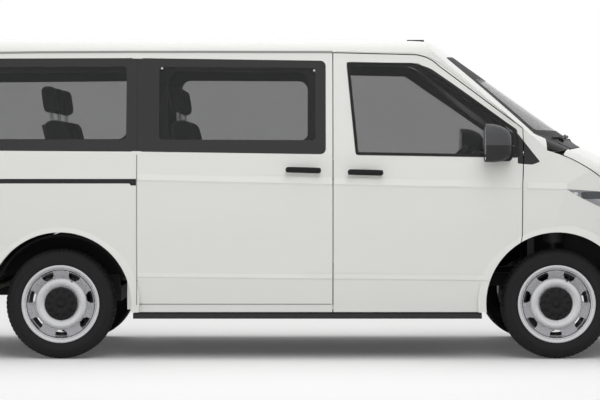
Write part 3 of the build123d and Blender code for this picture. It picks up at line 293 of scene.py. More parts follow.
def two_finishes(name, first, second, make_mask):
    """The first finish, with the second's colour, gloss and clearness where the mask is 1."""
    m = first.copy()
    m.name = name
    slot_of[name] = slot_of.get(first.name)
    tree = m.node_tree
    own, other = shader_of(m).inputs, shader_of(second).inputs
    mask = make_mask(Regions(m))
    color = mix_colors(
        tree, mask, own["Base Color"].default_value, other["Base Color"].default_value
    )
    connect(tree, shader_of(m), {"Base Color": color})
    second_gloss = second.node_tree.nodes["Map Range"].inputs["To Max"].default_value
    blends = {"Roughness": (own["Roughness"].links[0].from_socket, second_gloss)}
    least_difference = 0.01
    for key in ("Alpha", "Metallic", "Coat Weight"):
        a, b = own[key].default_value, other[key].default_value
        if abs(a - b) > least_difference:
            blends[key] = (a, b)
    for key, (a, b) in blends.items():
        blend = add_node(tree, "ShaderNodeMix", {"Factor": mask, "A": a, "B": b})
        connect(tree, shader_of(m), {key: blend.outputs["Result"]})
    return m


# Corners of the panes in side view and in front view, as in the CAD
quarter_pane = [(-2.250, 1.818), (-0.900, 1.822), (-0.900, 1.254), (-2.250, 1.262)]
sliding_pane = [(-1.070, 1.823), (0.156, 1.806), (0.156, 1.238), (-1.070, 1.255)]
door_pane = [
    (0.279, 1.800), (0.690, 1.796), (0.790, 1.764), (0.960, 1.648), (1.312, 1.388),
    (1.328, 1.216), (0.335, 1.232),
]
mirror_sail = [(1.310, 1.180), (1.401, 1.172), (1.453, 1.192), (1.310, 1.375)]
tail_pane = [(-0.664, 1.800), (-0.700, 1.300), (0.700, 1.300), (0.664, 1.800)]
screen_pane = [(-0.700, 1.834), (-0.812, 1.300), (0.812, 1.300), (0.700, 1.834)]
sill_top = 0.281
handle_from_y = 0.9455  # the handles stand further out than the skin


def side_panel_mask(r):
    panes = [r.outline(("x", "z"), pane) for pane in (quarter_pane, sliding_pane)]
    rail = r.both(
        r.between("z", 1.040, 1.0895), r.between("x", -2.299, -0.98), r.between("y", -0.9345, -0.90)
    )
    inside = r.both(r.under(r.side_y, 0.872), r.under(r.place["z"], 1.20))
    return r.any(r.under(r.place["z"], sill_top), *panes, r.inward(), rail, inside)


def front_door_mask(r):
    handle = r.both(
        r.over(r.side_y, handle_from_y), r.between("z", 1.114, 1.145), r.between("x", 0.285, 0.503)
    )
    sail = r.outline(("x", "z"), mirror_sail, 0.01)
    return r.any(handle, r.outline(("x", "z"), door_pane, 0.012), r.inward(), sail)


def sliding_door_mask(r):
    handle = r.both(
        r.over(r.side_y, handle_from_y), r.between("z", 1.128, 1.159), r.between("x", -0.09, 0.13)
    )
    return r.any(handle, r.outline(("x", "z"), sliding_pane), r.inward())


def roof_mask(r):
    ceiling = r.under(r.normal["z"], -0.35)
    screen = r.both(r.outline(("y", "z"), screen_pane), r.over(r.place["x"], 0.8))
    aerial = r.both(
        r.over(r.place["z"], 1.936), r.between("x", 0.672, 0.812), r.between("y", -0.024, 0.024)
    )
    return r.any(ceiling, screen, r.outline(("x", "z"), mirror_sail, 0.01), aerial)


def wing_mask(r):
    return r.any(r.outline(("x", "z"), mirror_sail, 0.01), r.inward())


def tailgate_mask(r):
    return r.any(r.over(r.normal["x"], 0.5), r.outline(("y", "z"), tail_pane))


def bumper_mask(r):
    """Slots, recesses and the inside of a bumper or grille are black."""
    slot_edge = r.both(r.over(r.math("ABSOLUTE", r.normal["z"]), 0.8), r.over(r.place["z"], 0.32))
    return r.any(slot_edge, r.inward(), r.under(r.normal["x"], -0.5))


def rear_bumper_mask(r):
    return r.any(r.inward(), r.over(r.normal["x"], 0.5))


def tail_lamp_mask(r):
    """The turn signal is the amber band above the middle of the lamp."""
    low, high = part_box("tail_lamps")
    height = high.z - low.z
    return r.between("z", low.z + 0.50 * height, low.z + 0.68 * height)


def screen_mask(r):
    """The painted edge of the windscreen, deeper along its foot and head."""
    corners = [(-0.655, 1.708), (-0.745, 1.385), (0.745, 1.385), (0.655, 1.708)]
    clear = r.outline(("y", "z"), corners, 0.04)
    return r.math("SUBTRACT", 1, clear)


def pane_mask(r):
    """The painted edges of the fixed side panes."""
    quarter = [(-2.185, 1.765), (-1.050, 1.770), (-1.050, 1.328), (-2.185, 1.328)]
    sliding = [(-0.852, 1.768), (0.092, 1.762), (0.092, 1.324), (-0.852, 1.328)]
    near = r.any(*(r.outline(("x", "z"), pane, 0.035, 0) for pane in (quarter, sliding)))
    far = r.any(*(
        r.outline(("x", "z"), [(x, z + (0.030 if z > 1.5 else 0)) for x, z in pane], 0.035, 0)
        for pane in (quarter, sliding)
    ))
    clear = r.any(near, r.both(far, r.over(r.place["y"], 0)))
    return r.math("SUBTRACT", 1, clear)


def front_frame_mask(r):
    """The bulkhead and rails are dark, the hinge pillars painted."""
    return r.under(r.side_y, 0.86)


# Black plastic below 1.292 m, and above it a lighter grey that is painted light on the housing's
# top half
def mirror_light_and_shade_mask(r):
    return r.under(r.place["z"], 1.292)


two_tone = [
    # node, first finish, second finish, where the second shows
    ("side_panel_right", paint, black, side_panel_mask),
    ("side_panel_left", paint, black, side_panel_mask),
    ("front_door_right", paint, black, front_door_mask),
    ("front_door_left", paint, black, front_door_mask),
    ("sliding_door", paint, black, sliding_door_mask),
    ("roof", paint, black, roof_mask),
    ("front_wings", paint, black, wing_mask),
    ("tailgate", paint, black, tailgate_mask),
    ("front_frame", paint, underbody, front_frame_mask),
    ("front_bumper", paint, black, bumper_mask),
    ("grille", black, black, bumper_mask),
    ("rear_bumper", paint, black, rear_bumper_mask),
    ("tail_lamps", red_lens, amber_lens, tail_lamp_mask),
    ("windscreen", screen_glass, screen_edge, screen_mask),
    ("side_glasses", glass, frit, pane_mask),
]
for node_name, first, second, make_mask in two_tone:
    dress(node_name, two_finishes(node_name, first, second, make_mask))


# Making pieces
def piece(name, mesh_or_bm, material, body, smooth=35):
    """A new object from a mesh or bmesh, dressed and riding on a body."""
    if isinstance(mesh_or_bm, bmesh.types.BMesh):
        mesh = bpy.data.meshes.new(name)
        bmesh.ops.recalc_face_normals(mesh_or_bm, faces=mesh_or_bm.faces)
        mesh_or_bm.to_mesh(mesh)
        mesh_or_bm.free()
    else:
        mesh = mesh_or_bm
    obj = bpy.data.objects.new(name, mesh)
    bpy.context.scene.collection.objects.link(obj)
    mesh.materials.clear()
    mesh.materials.append(material)
    if smooth:
        mesh.shade_smooth()
        mesh.set_sharp_from_angle(angle=math.radians(smooth))
    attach(obj, body)
    return obj


def rounded_block(bm, low, high, radius=0.004, segments=2, turn=None):
    """A block with rounded edges, added to a bmesh."""
    low, high = Vector(low), Vector(high)
    made = bmesh.ops.create_cube(bm, size=1)["verts"]
    bmesh.ops.scale(bm, vec=high - low, verts=made)
    edges = dict.fromkeys(e for v in made for e in v.link_edges)
    rounded = bmesh.ops.bevel(
        bm, geom=list(edges), offset=radius, segments=segments, profile=0.5, affect="EDGES"
    )
    found = set(made) | set(rounded["verts"])
    verts = [v for v in found if v.is_valid]
    if turn is not None:
        bmesh.ops.rotate(bm, cent=(0, 0, 0), matrix=turn, verts=verts)
    bmesh.ops.translate(bm, vec=(low + high) / 2, verts=verts)
    return verts


def rod(bm, start, end, radius, segments=16):
    """A round bar between two points, added to a bmesh."""
    start, end = Vector(start), Vector(end)
    along = end - start
    made = bmesh.ops.create_cone(
        bm, cap_ends=True, segments=segments, radius1=radius, radius2=radius, depth=along.length
    )["verts"]
    turn = Vector((0, 0, 1)).rotation_difference(along).to_matrix()
    bmesh.ops.rotate(bm, cent=(0, 0, 0), matrix=turn, verts=made)
    bmesh.ops.translate(bm, vec=(start + end) / 2, verts=made)
    return made


def skin(bm, rows):
    """Faces between rows of vertices, each row closed to a ring."""
    for a, b in zip(rows, rows[1:]):
        for i in range(len(a)):
            j = (i + 1) % len(a)
            bm.faces.new((a[i], a[j], b[j], b[i]))


def sweep(bm, rings, cap=True):
    """Skin a list of rings, each a list of points."""
    made = [[bm.verts.new(p) for p in ring] for ring in rings]
    skin(bm, made)
    if cap:
        bm.faces.new(made[0])
        bm.faces.new(list(reversed(made[-1])))
    return made


def swept(name, rings, material, body, smooth=35):
    """A piece skinned over a list of rings."""
    bm = bmesh.new()
    sweep(bm, rings)
    return piece(name, bm, material, body, smooth)


def blocks(name, material, body, *rows):
    """A piece of rounded blocks, each row as rounded_block takes it."""
    bm = bmesh.new()
    for row in rows:
        rounded_block(bm, *row)
    return piece(name, bm, material, body)


def oval(count, power=1):
    """(across, up) pairs round a circle, drawn out towards the corners by a lower power."""
    turns = [2 * math.pi * k / count for k in range(count)]
    return [
        [math.copysign(abs(v) ** power, v) for v in (math.cos(a), math.sin(a))] for a in turns
    ]


def wheels():
    """Each wheel's name, outward direction and middle."""
    for end in ("front", "rear"):
        for side_name, side in SIDES:
            yield f"{end}_{side_name}", side, Vector((axle_x[end], side * wheel_y, tyre_radius))


def about_axle(centre, side, angle, radius, out):
    """A point by its angle and radius about a wheel's axle and its distance outwards."""
    return centre + Vector((math.sin(angle) * radius, side * out, math.cos(angle) * radius))


def revolve_y(bm, profile, centre, side, segments, shape=None):
    """Turn a closed (out, radius) profile about a wheel's axle; shape may change a point."""
    made = []
    for k in range(segments):
        angle = 2 * math.pi * k / segments
        points = [shape(i, k, *point) if shape else point for i, point in enumerate(profile)]
        made.append([
            bm.verts.new(about_axle(centre, side, angle, radius, out)) for out, radius in points
        ])
    skin(bm, made + made[:1])


def scratch_object(name, bm):
    """An object that only lends its form, from a bmesh."""
    mesh = bpy.data.meshes.new(name)
    bm.to_mesh(mesh)
    bm.free()
    obj = bpy.data.objects.new(name, mesh)
    bpy.context.scene.collection.objects.link(obj)
    return obj


def baked(obj):
    """The mesh as the object's modifiers leave it."""
    deps = bpy.context.evaluated_depsgraph_get()
    return bpy.data.meshes.new_from_object(obj.evaluated_get(deps))


def tree_of(*names):
    """A search tree over the faces of CAD nodes."""
    points, faces = [], []
    for name in names:
        mesh = nodes[name].data
        start = len(points)
        points.extend(v.co.copy() for v in mesh.vertices)
        faces.extend([start + i for i in p.vertices] for p in mesh.polygons)
    return BVHTree.FromPolygons(points, faces)


def strip_section(half, rise):
    """(up, out) points of a plain strip."""
    return [(half, -0.001), (half * 0.6, rise), (-half * 0.6, rise), (-half, -0.001)]


# (up, out) points of the pressed lines: a ridge, a face turned down under it, and a shoulder
SWAGE = [
    (0.048, -0.0015), (0.016, 0.0055), (0.0080, 0.0078), (-0.0070, -0.0012),
    (-0.0125, -0.0010), (-0.020, -0.0016), (-0.030, -0.0030),
]
CREASE = [
    (0.034, -0.0015), (0.012, 0.0045), (0.0060, 0.0062), (-0.0060, -0.0010),
    (-0.0105, -0.0010), (-0.016, -0.0016), (-0.024, -0.0030),
]


def bead(name, node_names, body, side, points, section, material):
    """A pressed line or strip along the body side, laid on the skin at (x, z) points."""
    tree = tree_of(*node_names)
    out = Vector((0, side, 0))
    longest_step, beside, least_slope = 0.03, 1.2, 0.2
    rings = []
    for (x0, z0), (x1, z1) in zip(points, points[1:]):
        count = max(2, int(math.hypot(x1 - x0, z1 - z0) / longest_step))
        along = Vector((x1 - x0, 0, z1 - z0)).normalized()
        up = Vector((-along.z, 0, along.x))
        if up.z < 0 or (abs(up.z) < 1e-6 and up.x < 0):
            up = -up
        for k in range(count + (1 if (x1, z1) == points[-1] else 0)):
            x, z = x0 + (x1 - x0) * k / count, z0 + (z1 - z0) * k / count
            hit, normal = hit_from(tree, (x, side * beside, z), -out)
            if hit is None:
                continue
            slope = up - out * (up.dot(normal) / max(out.dot(normal), least_slope))
            rings.append([hit + slope * rise + out * lift for rise, lift in section])
    swept(name, rings, material, body, 12)


# Tyres: the CAD tyre's outline with its tread cut and rings on its walls
def tyre_profile():
    """Closed (out, radius, tread row) points from bead to bead over the tread."""
    half = tyre_half_width
    outside = [
        (0.083, 0.2035, 0), (0.083, 0.2220, 0), (0.0885, 0.2300, 0), (0.0915, 0.2360, 0),
        (0.0930, 0.2400, 0), (0.0965, 0.2450, 0),
        (half - 0.0028, 0.2580, 0), (half - 0.0008, 0.2680, 0), (half - 0.0012, 0.2760, 0),
        (half - 0.0004, 0.2775, 0), (half - 0.0004, 0.2815, 0),
        (half - 0.0026, 0.2832, 0), (half - 0.0060, 0.2950, 0), (half - 0.0100, 0.3050, 0),
        (half - 0.0150, 0.3135, 1), (half - 0.0210, 0.3215, 1), (half - 0.0300, 0.3275, 1),
        (half - 0.0420, 0.3305, 1), (0.0500, 0.3313, 1), (0.0485, 0.3235, 0), (0.0425, 0.3235, 0),
        (0.0410, 0.3316, 2), (0.0260, 0.3321, 2), (0.0175, 0.3323, 2), (0.0160, 0.3240, 0),
        (0.0100, 0.3240, 0), (0.0085, 0.3325, 3),
    ]
    inside = [(-out, radius, row) for out, radius, row in reversed(outside)]
    return outside + inside


TYRE_STEPS = 288
GROOVE_EVERY = 4
GROOVE_DEPTH = {1: 0.0036, 2: 0.0052, 3: 0.0045}


def make_tyres():
    profile = tyre_profile()
    rows = [row for _, _, row in profile]

    def cut(i, k, out, radius):
        """A groove across each tread row, set off by two steps on the inner half."""
        row = rows[i]
        if row and (k + (2 if out < 0 else 0) + row) % GROOVE_EVERY == 0:
            return out * (0.985 if row == 1 else 1), radius - GROOVE_DEPTH[row]
        return out, radius

    for name, side, centre in wheels():
        bm = bmesh.new()
        outline = [(out, radius) for out, radius, _ in profile]
        revolve_y(bm, outline, centre, side, TYRE_STEPS, cut)
        tyre = piece(f"tread_tyre_{name}", bm, rubber, f"road_wheel_{name}", 28)
        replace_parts(tyre, f"tyre_{name}")


# Steel wheels: a rolled rim and a pressed disc with open notches round its edge
RIM = [
    # (out, radius) round the section of the rim
    (0.0935, 0.2355), (0.0965, 0.2350), (0.0985, 0.2300), (0.0972, 0.2235), (0.0915, 0.2160),
    (0.0780, 0.2050), (0.0600, 0.2000), (0.0300, 0.1960), (0.0120, 0.1780), (-0.0200, 0.1780),
    (-0.0400, 0.1960), (-0.0780, 0.2000), (-0.0900, 0.2120), (-0.0930, 0.2210),
    (-0.0890, 0.2215), (-0.0860, 0.2150), (-0.0800, 0.2030), (-0.0420, 0.1995), (-0.0210, 0.1815),
    (0.0130, 0.1815), (0.0310, 0.1995), (0.0790, 0.2032), (0.0865, 0.2120), (0.0900, 0.2250),
]
DISC = [
    # (radius, out) from the hub to the rim
    (0.0330, 0.0500), (0.0700, 0.0500), (0.0850, 0.0545), (0.0950, 0.0590), (0.1020, 0.0625),
    (0.1100, 0.0685), (0.1180, 0.0745), (0.1250, 0.0785), (0.1310, 0.0800), (0.1370, 0.0795),
    (0.1440, 0.0765), (0.1510, 0.0715), (0.1580, 0.0655), (0.1650, 0.0595), (0.1720, 0.0545),
    (0.1800, 0.0500), (0.1880, 0.0465), (0.1950, 0.0440), (0.1995, 0.0430),
]
NOTCHES = 7
NOTCH_STEPS = 28
DISC_STEPS = NOTCHES * NOTCH_STEPS
NOTCH_FROM, NOTCH_TO = 0.158, 0.195
NOTCH_HALF_STEPS = [(0.165, 4), (0.172, 5), (NOTCH_TO, 6)]
DISC_THICKNESS = 0.0036
RIM_STEPS = 144


def in_notch(radius, k):
    """Whether a face of the disc falls into a notch, which widens towards the rim."""
    if not NOTCH_FROM < radius < NOTCH_TO:
        return False
    half = next(steps for limit, steps in NOTCH_HALF_STEPS if radius < limit)
    step = (k + NOTCH_STEPS // 2) % NOTCH_STEPS
    return step < half or step >= NOTCH_STEPS - half


def make_steel_wheels():
    for name, side, centre in wheels():
        bm = bmesh.new()
        rings = [
            [
                bm.verts.new(about_axle(centre, side, 2 * math.pi * k / DISC_STEPS, radius, out))
                for k in range(DISC_STEPS)
            ]
            for radius, out in DISC
        ]
        for i, (a, b) in enumerate(zip(rings, rings[1:])):
            middle = (DISC[i][0] + DISC[i + 1][0]) / 2
            for k in range(DISC_STEPS):
                if not in_notch(middle, k):
                    j = (k + 1) % DISC_STEPS
                    bm.faces.new((a[k], a[j], b[j], b[k]))
        bmesh.ops.recalc_face_normals(bm, faces=bm.faces)
        form = scratch_object("disc_form", bm)
        thick = form.modifiers.new("thickness", "SOLIDIFY")
        thick.thickness = DISC_THICKNESS
        thick.offset = 0
        disc = baked(form)
        bpy.data.objects.remove(form)
        disc.name = f"wheel_disc_{name}"
        rim = bmesh.new()
        revolve_y(rim, RIM, centre, side, RIM_STEPS)
        for part, mesh in ((f"wheel_disc_{name}", disc), (f"wheel_rim_{name}", rim)):
            made = piece(part, mesh, silver, f"road_wheel_{name}", 40)
            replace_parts(made, f"wheel_{name}")


# The fluted cap and the valve of each wheel
CAP_RADIUS = 0.0955
CAP_OUT = 0.0915
CAP_BACK = 0.060
CAP_STEPS = 120
CAP_RINGS = 20
DOME_RADIUS = 0.026
SHOULDER_RADIUS = 0.080
DISH_OUT = 0.0775


def cap_out(r, angle):
    """How far out the cap stands: a dome, a dish with ten lobes, and a fluted edge."""
    if r < DOME_RADIUS:
        out = CAP_OUT - 0.6 * r * r / DOME_RADIUS
    elif r < SHOULDER_RADIUS:
        share = (r - DOME_RADIUS) / (SHOULDER_RADIUS - DOME_RADIUS)
        out = DISH_OUT + 0.0045 * math.sin(math.pi * share)
    else:
        out = DISH_OUT - (r - SHOULDER_RADIUS) * 0.62
    lobe = 0.5 + 0.5 * math.cos(10 * angle)
    if 0.060 < r < 0.090:
        out -= 0.012 * (1 - lobe) ** 2 * math.sin(math.pi * (r - 0.060) / 0.030)
    if 0.034 < r < 0.056:
        out += 0.0040 * lobe ** 3 * math.sin(math.pi * (r - 0.034) / 0.022)
    return out


def make_wheel_details():
    angles = [2 * math.pi * k / CAP_STEPS for k in range(CAP_STEPS)]
    for name, side, centre in wheels():
        rings = []
        for i in range(1, CAP_RINGS + 1):
            r = CAP_RADIUS * i / CAP_RINGS
            rings.append([about_axle(centre, side, a, r, cap_out(r, a)) for a in angles])
        rings.append([about_axle(centre, side, a, CAP_RADIUS, CAP_BACK) for a in angles])
        bm = bmesh.new()
        made = sweep(bm, rings, cap=False)
        bm.faces.new(list(reversed(made[-1])))
        hub = bm.verts.new(centre + Vector((0, side * CAP_OUT, 0)))
        for k in range(CAP_STEPS):
            bm.faces.new((hub, made[0][k], made[0][(k + 1) % CAP_STEPS]))
        piece(f"wheel_cap_{name}", bm, black, f"road_wheel_{name}", 40)

        bm = bmesh.new()
        root = about_axle(centre, side, math.pi / NOTCHES, 0.178, 0.058)
        tip = about_axle(centre, side, math.pi / NOTCHES, 0.168, 0.088)
        stem = tip - root
        rod(bm, root, tip, 0.0048, 14)
        rod(bm, tip - stem * 0.25, tip + stem * 0.08, 0.0062, 14)
        piece(f"valve_{name}", bm, rubber, f"road_wheel_{name}")


# Brake calipers behind the wheels
def make_brakes():
    first, reach, steps = 200, 60, 14
    for name, side, centre in sorted(wheels(), key=lambda wheel: wheel[1]):
        end, side_name = name.split("_")
        body, inner = (f"knuckle_{side_name}", -0.020) if end == "front" else ("shell", -0.016)
        section = ((0.105, 0.032), (0.158, 0.032), (0.160, 0.004), (0.158, inner), (0.105, inner))
        angles = [math.radians(first + reach * k / steps) for k in range(steps + 1)]
        rings = [[about_axle(centre, side, a, r, out) for r, out in section] for a in angles]
        swept(f"caliper_{name}", rings, cast, body)


# Pressed lines along the body side, following the photograph
def swage(x):
    return 1.0565 - 0.0211 * x


def crease(x):
    return 0.4862 - 0.0094 * x


def make_body_lines():
    door_rear, door_front = 0.205, 1.328
    panel_front = 0.193
    slide_rear = -0.985
    for side_name, side in SIDES:
        door = f"front_door_{side_name}"
        panel = f"side_panel_{side_name}"
        runs = [
            # name, nodes, body, from x, to x, height line, section
            ("swage_door", [door], door, door_rear, door_front, swage, SWAGE),
            ("swage_wing", ["front_wings"], "shell", 1.339, 1.640, swage, SWAGE),
            ("crease_door", [door], door, door_rear, 1.135, crease, CREASE),
        ]
        skins = ["roof", panel]
        kind, skin_node, swage_from, crease_from = "panel", panel, -2.250, -0.930
        if side < 0:
            skins.append("sliding_door")
            kind = skin_node = "sliding_door"
            swage_from = crease_from = -0.980
        runs += [
            (f"swage_{kind}", [skin_node], "shell", swage_from, panel_front, swage, SWAGE),
            (f"crease_{kind}", [skin_node], "shell", crease_from, panel_front, crease, CREASE),
        ]
        for name, names, body, x0, x1, height, section in runs:
            points = [(x0, height(x0)), (x1, height(x1))]
            bead(f"{name}_{side_name}", names, body, side, points, section, paint)

        # drip rail over the doors and down the windscreen pillar, and the roof edge strip
        rail = [(0.215, 1.866), (0.690, 1.8545), (0.790, 1.8295), (0.862, 1.7880), (1.352, 1.4010)]
        bead(
            f"drip_rail_{side_name}", ["roof", panel, door], "shell", side, rail,
            strip_section(0.0045, 0.0060), paint,
        )
        edge = [
            (-2.200, 1.8500), (-1.600, 1.8575), (slide_rear, 1.8600), (-0.600, 1.8600),
            (0.198, 1.8590),
        ]
        bead(
            f"roof_edge_strip_{side_name}", skins, "shell", side, edge,
            strip_section(0.0075, 0.0040), strip_grey_and_gap_shade,
        )

    # shut lines of the sliding door, which stands still, drawn as grey strips: painted shade of the
    # gaps
    for name, points in (
        ("shut_line_rear", [(slide_rear, 1.236), (slide_rear, 0.330)]),
        ("shut_line_foot", [(slide_rear, 0.332), (0.190, 0.332)]),
    ):
        skins = ["sliding_door", "side_panel_right"]
        bead(name, skins, "shell", -1, points, strip_section(0.0040, 0.0010), strip_grey_and_gap_shade)


# Pull handles, rounded over the CAD's bars
def make_handles():
    steps, overhang, middle_y = 24, 0.003, 0.970
    for name, body, side, x0, x1, z in (
        ("door_handle_right", "front_door_right", -1, 0.290, 0.498, 1.129),
        ("door_handle_left", "front_door_left", 1, 0.290, 0.498, 1.129),
        ("sliding_door_handle", "shell", -1, -0.084, 0.124, 1.143),
    ):
        rings = []
        for k in range(steps + 1):
            t = k / steps
            x = x0 - overhang + (x1 - x0 + 2 * overhang) * t
            from_middle = 2 * t - 1
            end = math.sqrt(max(0.0, 1 - from_middle ** 12))
            half_z = 0.006 + 0.0115 * end
            half_y = 0.005 + 0.006 * end
            middle_z = z - 0.003 * from_middle
            rings.append([
                Vector((x, side * (middle_y + half_y * c), middle_z + half_z * s))
                for c, s in oval(24, 0.7)
            ])
        swept(name, rings, black, body, 50)


# Door mirrors: the CAD's cone of housing, rounded, with its arm and glass
MIRROR_BACK = 1.1055
MIRROR_OUT, MIRROR_UP = 1.040, 1.306
MIRROR_SECTIONS = [
    # x from the back, half width, half height, middle out, middle up
    (0.010, 0.0810, 0.1020, MIRROR_OUT, MIRROR_UP),
    (0.000, 0.0860, 0.1070, MIRROR_OUT, MIRROR_UP),
    (0.000, 0.0925, 0.1135, MIRROR_OUT, MIRROR_UP),
    (0.006, 0.0945, 0.1155, MIRROR_OUT, MIRROR_UP),
    (0.050, 0.0925, 0.1140, 1.038, 1.304),
    (0.090, 0.0860, 0.1070, 1.036, 1.301),
    (0.120, 0.0770, 0.0950, 1.034, 1.299),
    (0.142, 0.0650, 0.0790, 1.033, 1.297),
    (0.154, 0.0450, 0.0560, 1.032, 1.296),
    (0.157, 0.0200, 0.0260, 1.032, 1.296),
]


def make_mirrors():
    for side_name, side in SIDES:
        body = f"front_door_{side_name}"

        def section(x, half_y, half_z, out, up, power):
            return [
                Vector((x, side * (out + half_y * c), up + half_z * s)) for c, s in oval(48, power)
            ]

        name = f"mirror_housing_{side_name}"
        rings = [section(MIRROR_BACK + row[0], *row[1:], 0.52) for row in MIRROR_SECTIONS]
        # The top half is lighter than the black foot: painted light from above
        finish = two_finishes(name, mirror_top, black, mirror_light_and_shade_mask)
        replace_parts(swept(name, rings, finish, body, 50), f"mirror_{side_name}")
        inner, outer = sorted((side * 0.905, side * 1.010))
        blocks(
            f"mirror_arm_{side_name}", black, body,
            ((1.165, inner, 1.196), (1.276, outer, 1.286), 0.026, 5),
        )
        rings = [section(x, 0.079, 0.100, MIRROR_OUT, MIRROR_UP, 0.5) for x in (1.1115, 1.1085)]
        swept(f"mirror_glass_{side_name}", rings, chrome, body, 30)


BEYOND = 3  # a ray's start, well outside the vehicle


def hit_from(tree, start, direction):
    """Where a ray meets the tree's faces, and the normal there."""
    hit, normal, _, _ = tree.ray_cast(Vector(start), Vector(direction).normalized())
    return hit, normal


def from_front(tree, y, z):
    return hit_from(tree, (BEYOND, y, z), (-1, 0, 0))


def from_behind(tree, y, z):
    return hit_from(tree, (-BEYOND, y, z), (1, 0, 0))


def from_beside(tree, side, x, z):
    return hit_from(tree, (x, side * BEYOND, z), (0, -side, 0))


def headlamp_bezel_mask(r):
    """The lamp's tip is bright but for a dark bar along it, and the front is dark."""
    bar = r.both(r.between("z", 0.968, 1.013), r.over(r.place["x"], 1.700))
    return r.both(r.under(r.place["x"], 1.98), r.math("SUBTRACT", 1, bar))


BOWLS = [
    # y, z, radius, depth
    (0.735, 0.884, 0.055, 0.030),
    (0.610, 0.872, 0.050, 0.028),
]
BOWL_RINGS = 8
# How far behind the lens the bezel, the bowls and the side indicator lie
BEZEL_DEPTH, BOWL_DEPTH, INDICATOR_DEPTH = 0.026, 0.016, 0.022
FOG_LAMP = [
    # (radius, out) from the rim to the middle of the lens
    (0.0435, 0.001), (0.0435, 0.006), (0.0400, 0.009), (0.0300, 0.0105), (0.0150, 0.0115),
    (0.002, 0.0118),
]


def make_headlamps():
    circle = oval(40)
    tree = tree_of("headlamps")
    for side_name, side in SIDES:
        # the bezel is the CAD lamp's front, set back behind its lens
        bm = bmesh.new()
        bm.from_mesh(nodes["headlamps"].data)
        bm.normal_update()
        outward = Vector((0.6, side, 0.5)).normalized()
        away = [
            face for face in bm.faces
            if face.calc_center_median().y * side <= 0 or face.normal.dot(outward) > -0.25
        ]
        bmesh.ops.delete(bm, geom=away, context="FACES")
        bm.normal_update()
        for v in bm.verts:
            v.co -= v.normal * BEZEL_DEPTH
        name = f"headlamp_bezel_{side_name}"
        bezel = two_finishes(name, black, lamp_edge, headlamp_bezel_mask)
        piece(name, bm, bezel, "shell", 40)

        reflectors = bmesh.new()
        bulbs = bmesh.new()
        for y, z, radius, depth in BOWLS:
            hit, normal = from_front(tree, side * y, z)
            axis = (normal + Vector((1.2, 0, 0))).normalized()
            turn = Vector((0, 0, 1)).rotation_difference(axis).to_matrix().to_4x4()
            place = Matrix.Translation(hit - normal * BOWL_DEPTH) @ turn
            shares = [step / BOWL_RINGS for step in range(BOWL_RINGS + 1)]
            bowl = [(radius * (0.22 + 0.78 * t), -depth * (1 - t ** 2)) for t in shares]
            lip = (radius + 0.006, -0.004)
            rings = [
                [place @ Vector((r * c, r * s, w)) for c, s in circle] for r, w in bowl + [lip]
            ]
            sweep(reflectors, rings, cap=False)
            root, tip = (place @ Vector((0, 0, -depth * share)) for share in (1, 0.25))
            rod(bulbs, root, tip, 0.0085, 16)
        name = f"headlamp_reflectors_{side_name}"
        piece(name, reflectors, chrome, "shell", 40)
        piece(f"headlamp_bulbs_{side_name}", bulbs, bulb_glass, "shell", 40)

        hit, normal = from_beside(tree, side, 1.668, 1.000)
        middle = hit - normal * INDICATOR_DEPTH
        half = Vector((0.013, 0.004, 0.009))
        box = (middle - half, middle + half, 0.003)
        blocks(f"side_indicator_{side_name}", chrome, "shell", box)
        fog, _ = from_front(tree_of("front_bumper"), side * 0.66, 0.42)
        rings = [[fog + Vector((out, r * c, r * s)) for c, s in circle] for r, out in FOG_LAMP]
        swept(f"fog_lamp_{side_name}", rings, fog_lens, "shell", 50)


def make_plates_and_grip():
    """Blocks set on the skin where a ray along the vehicle meets it."""
    tailgate, bumper = tree_of("tailgate"), tree_of("front_bumper")
    for name, finish, body, (hit, _), rows in (
        ("rear_plate", plate, "tailgate", from_behind(tailgate, 0, 0.88), [
            ((-0.006, -0.262, 0.823), (-0.001, 0.262, 0.937), 0.002),
        ]),
        ("tailgate_grip", black, "tailgate", from_behind(tailgate, 0, 1.000), [
            ((-0.012, -0.230, 0.978), (0.014, 0.230, 1.016), 0.006, 3),
            ((-0.008, -0.120, 0.972), (0.002, -0.080, 0.979), 0.002),
            ((-0.008, 0.080, 0.972), (0.002, 0.120, 0.979), 0.002),
        ]),
        ("high_brake_lamp", red_lens, "tailgate", from_behind(tailgate, 0, 1.838), [
            ((-0.010, -0.130, 1.828), (0.010, 0.130, 1.848), 0.004),
        ]),
        ("front_plate_holder", black, "shell", from_front(bumper, 0.40, 0.520), [
            ((-0.010, -0.268, 0.374), (0.004, 0.268, 0.492), 0.003),
        ]),
        ("front_plate", plate, "shell", from_front(bumper, 0.40, 0.520), [
            ((0.0035, -0.260, 0.378), (0.0065, 0.260, 0.488), 0.001),
        ]),
    ):
        skin_x = Vector((hit.x, 0, 0))
        blocks(name, finish, body, *(
            (skin_x + Vector(low), skin_x + Vector(high), *rest) for low, high, *rest in rows
        ))


BLADE_LIFT = 0.010  # of a wiper's blade above the glass


def make_rear_wiper():
    tree = tree_of("tailgate_glass")
    steps = 12
    points = []
    for k in range(steps + 1):
        z = 1.395 + 0.015 * math.sin(math.pi * k / steps)
        hit, normal = from_behind(tree, -0.30 + 0.52 * k / steps, z)
        points.append(hit + normal * BLADE_LIFT)
    bm = bmesh.new()
    wiper_blade(bm, points, 0.0045)
    pivot, normal = from_behind(tree, 0.24, 1.345)
    rod(bm, pivot - normal * 0.002, pivot + normal * 0.016, 0.018, 20)
    rod(bm, pivot + normal * 0.014, points[steps // 2] + normal * 0.008, 0.0055, 10)
    piece("rear_wiper", bm, black, "tailgate")


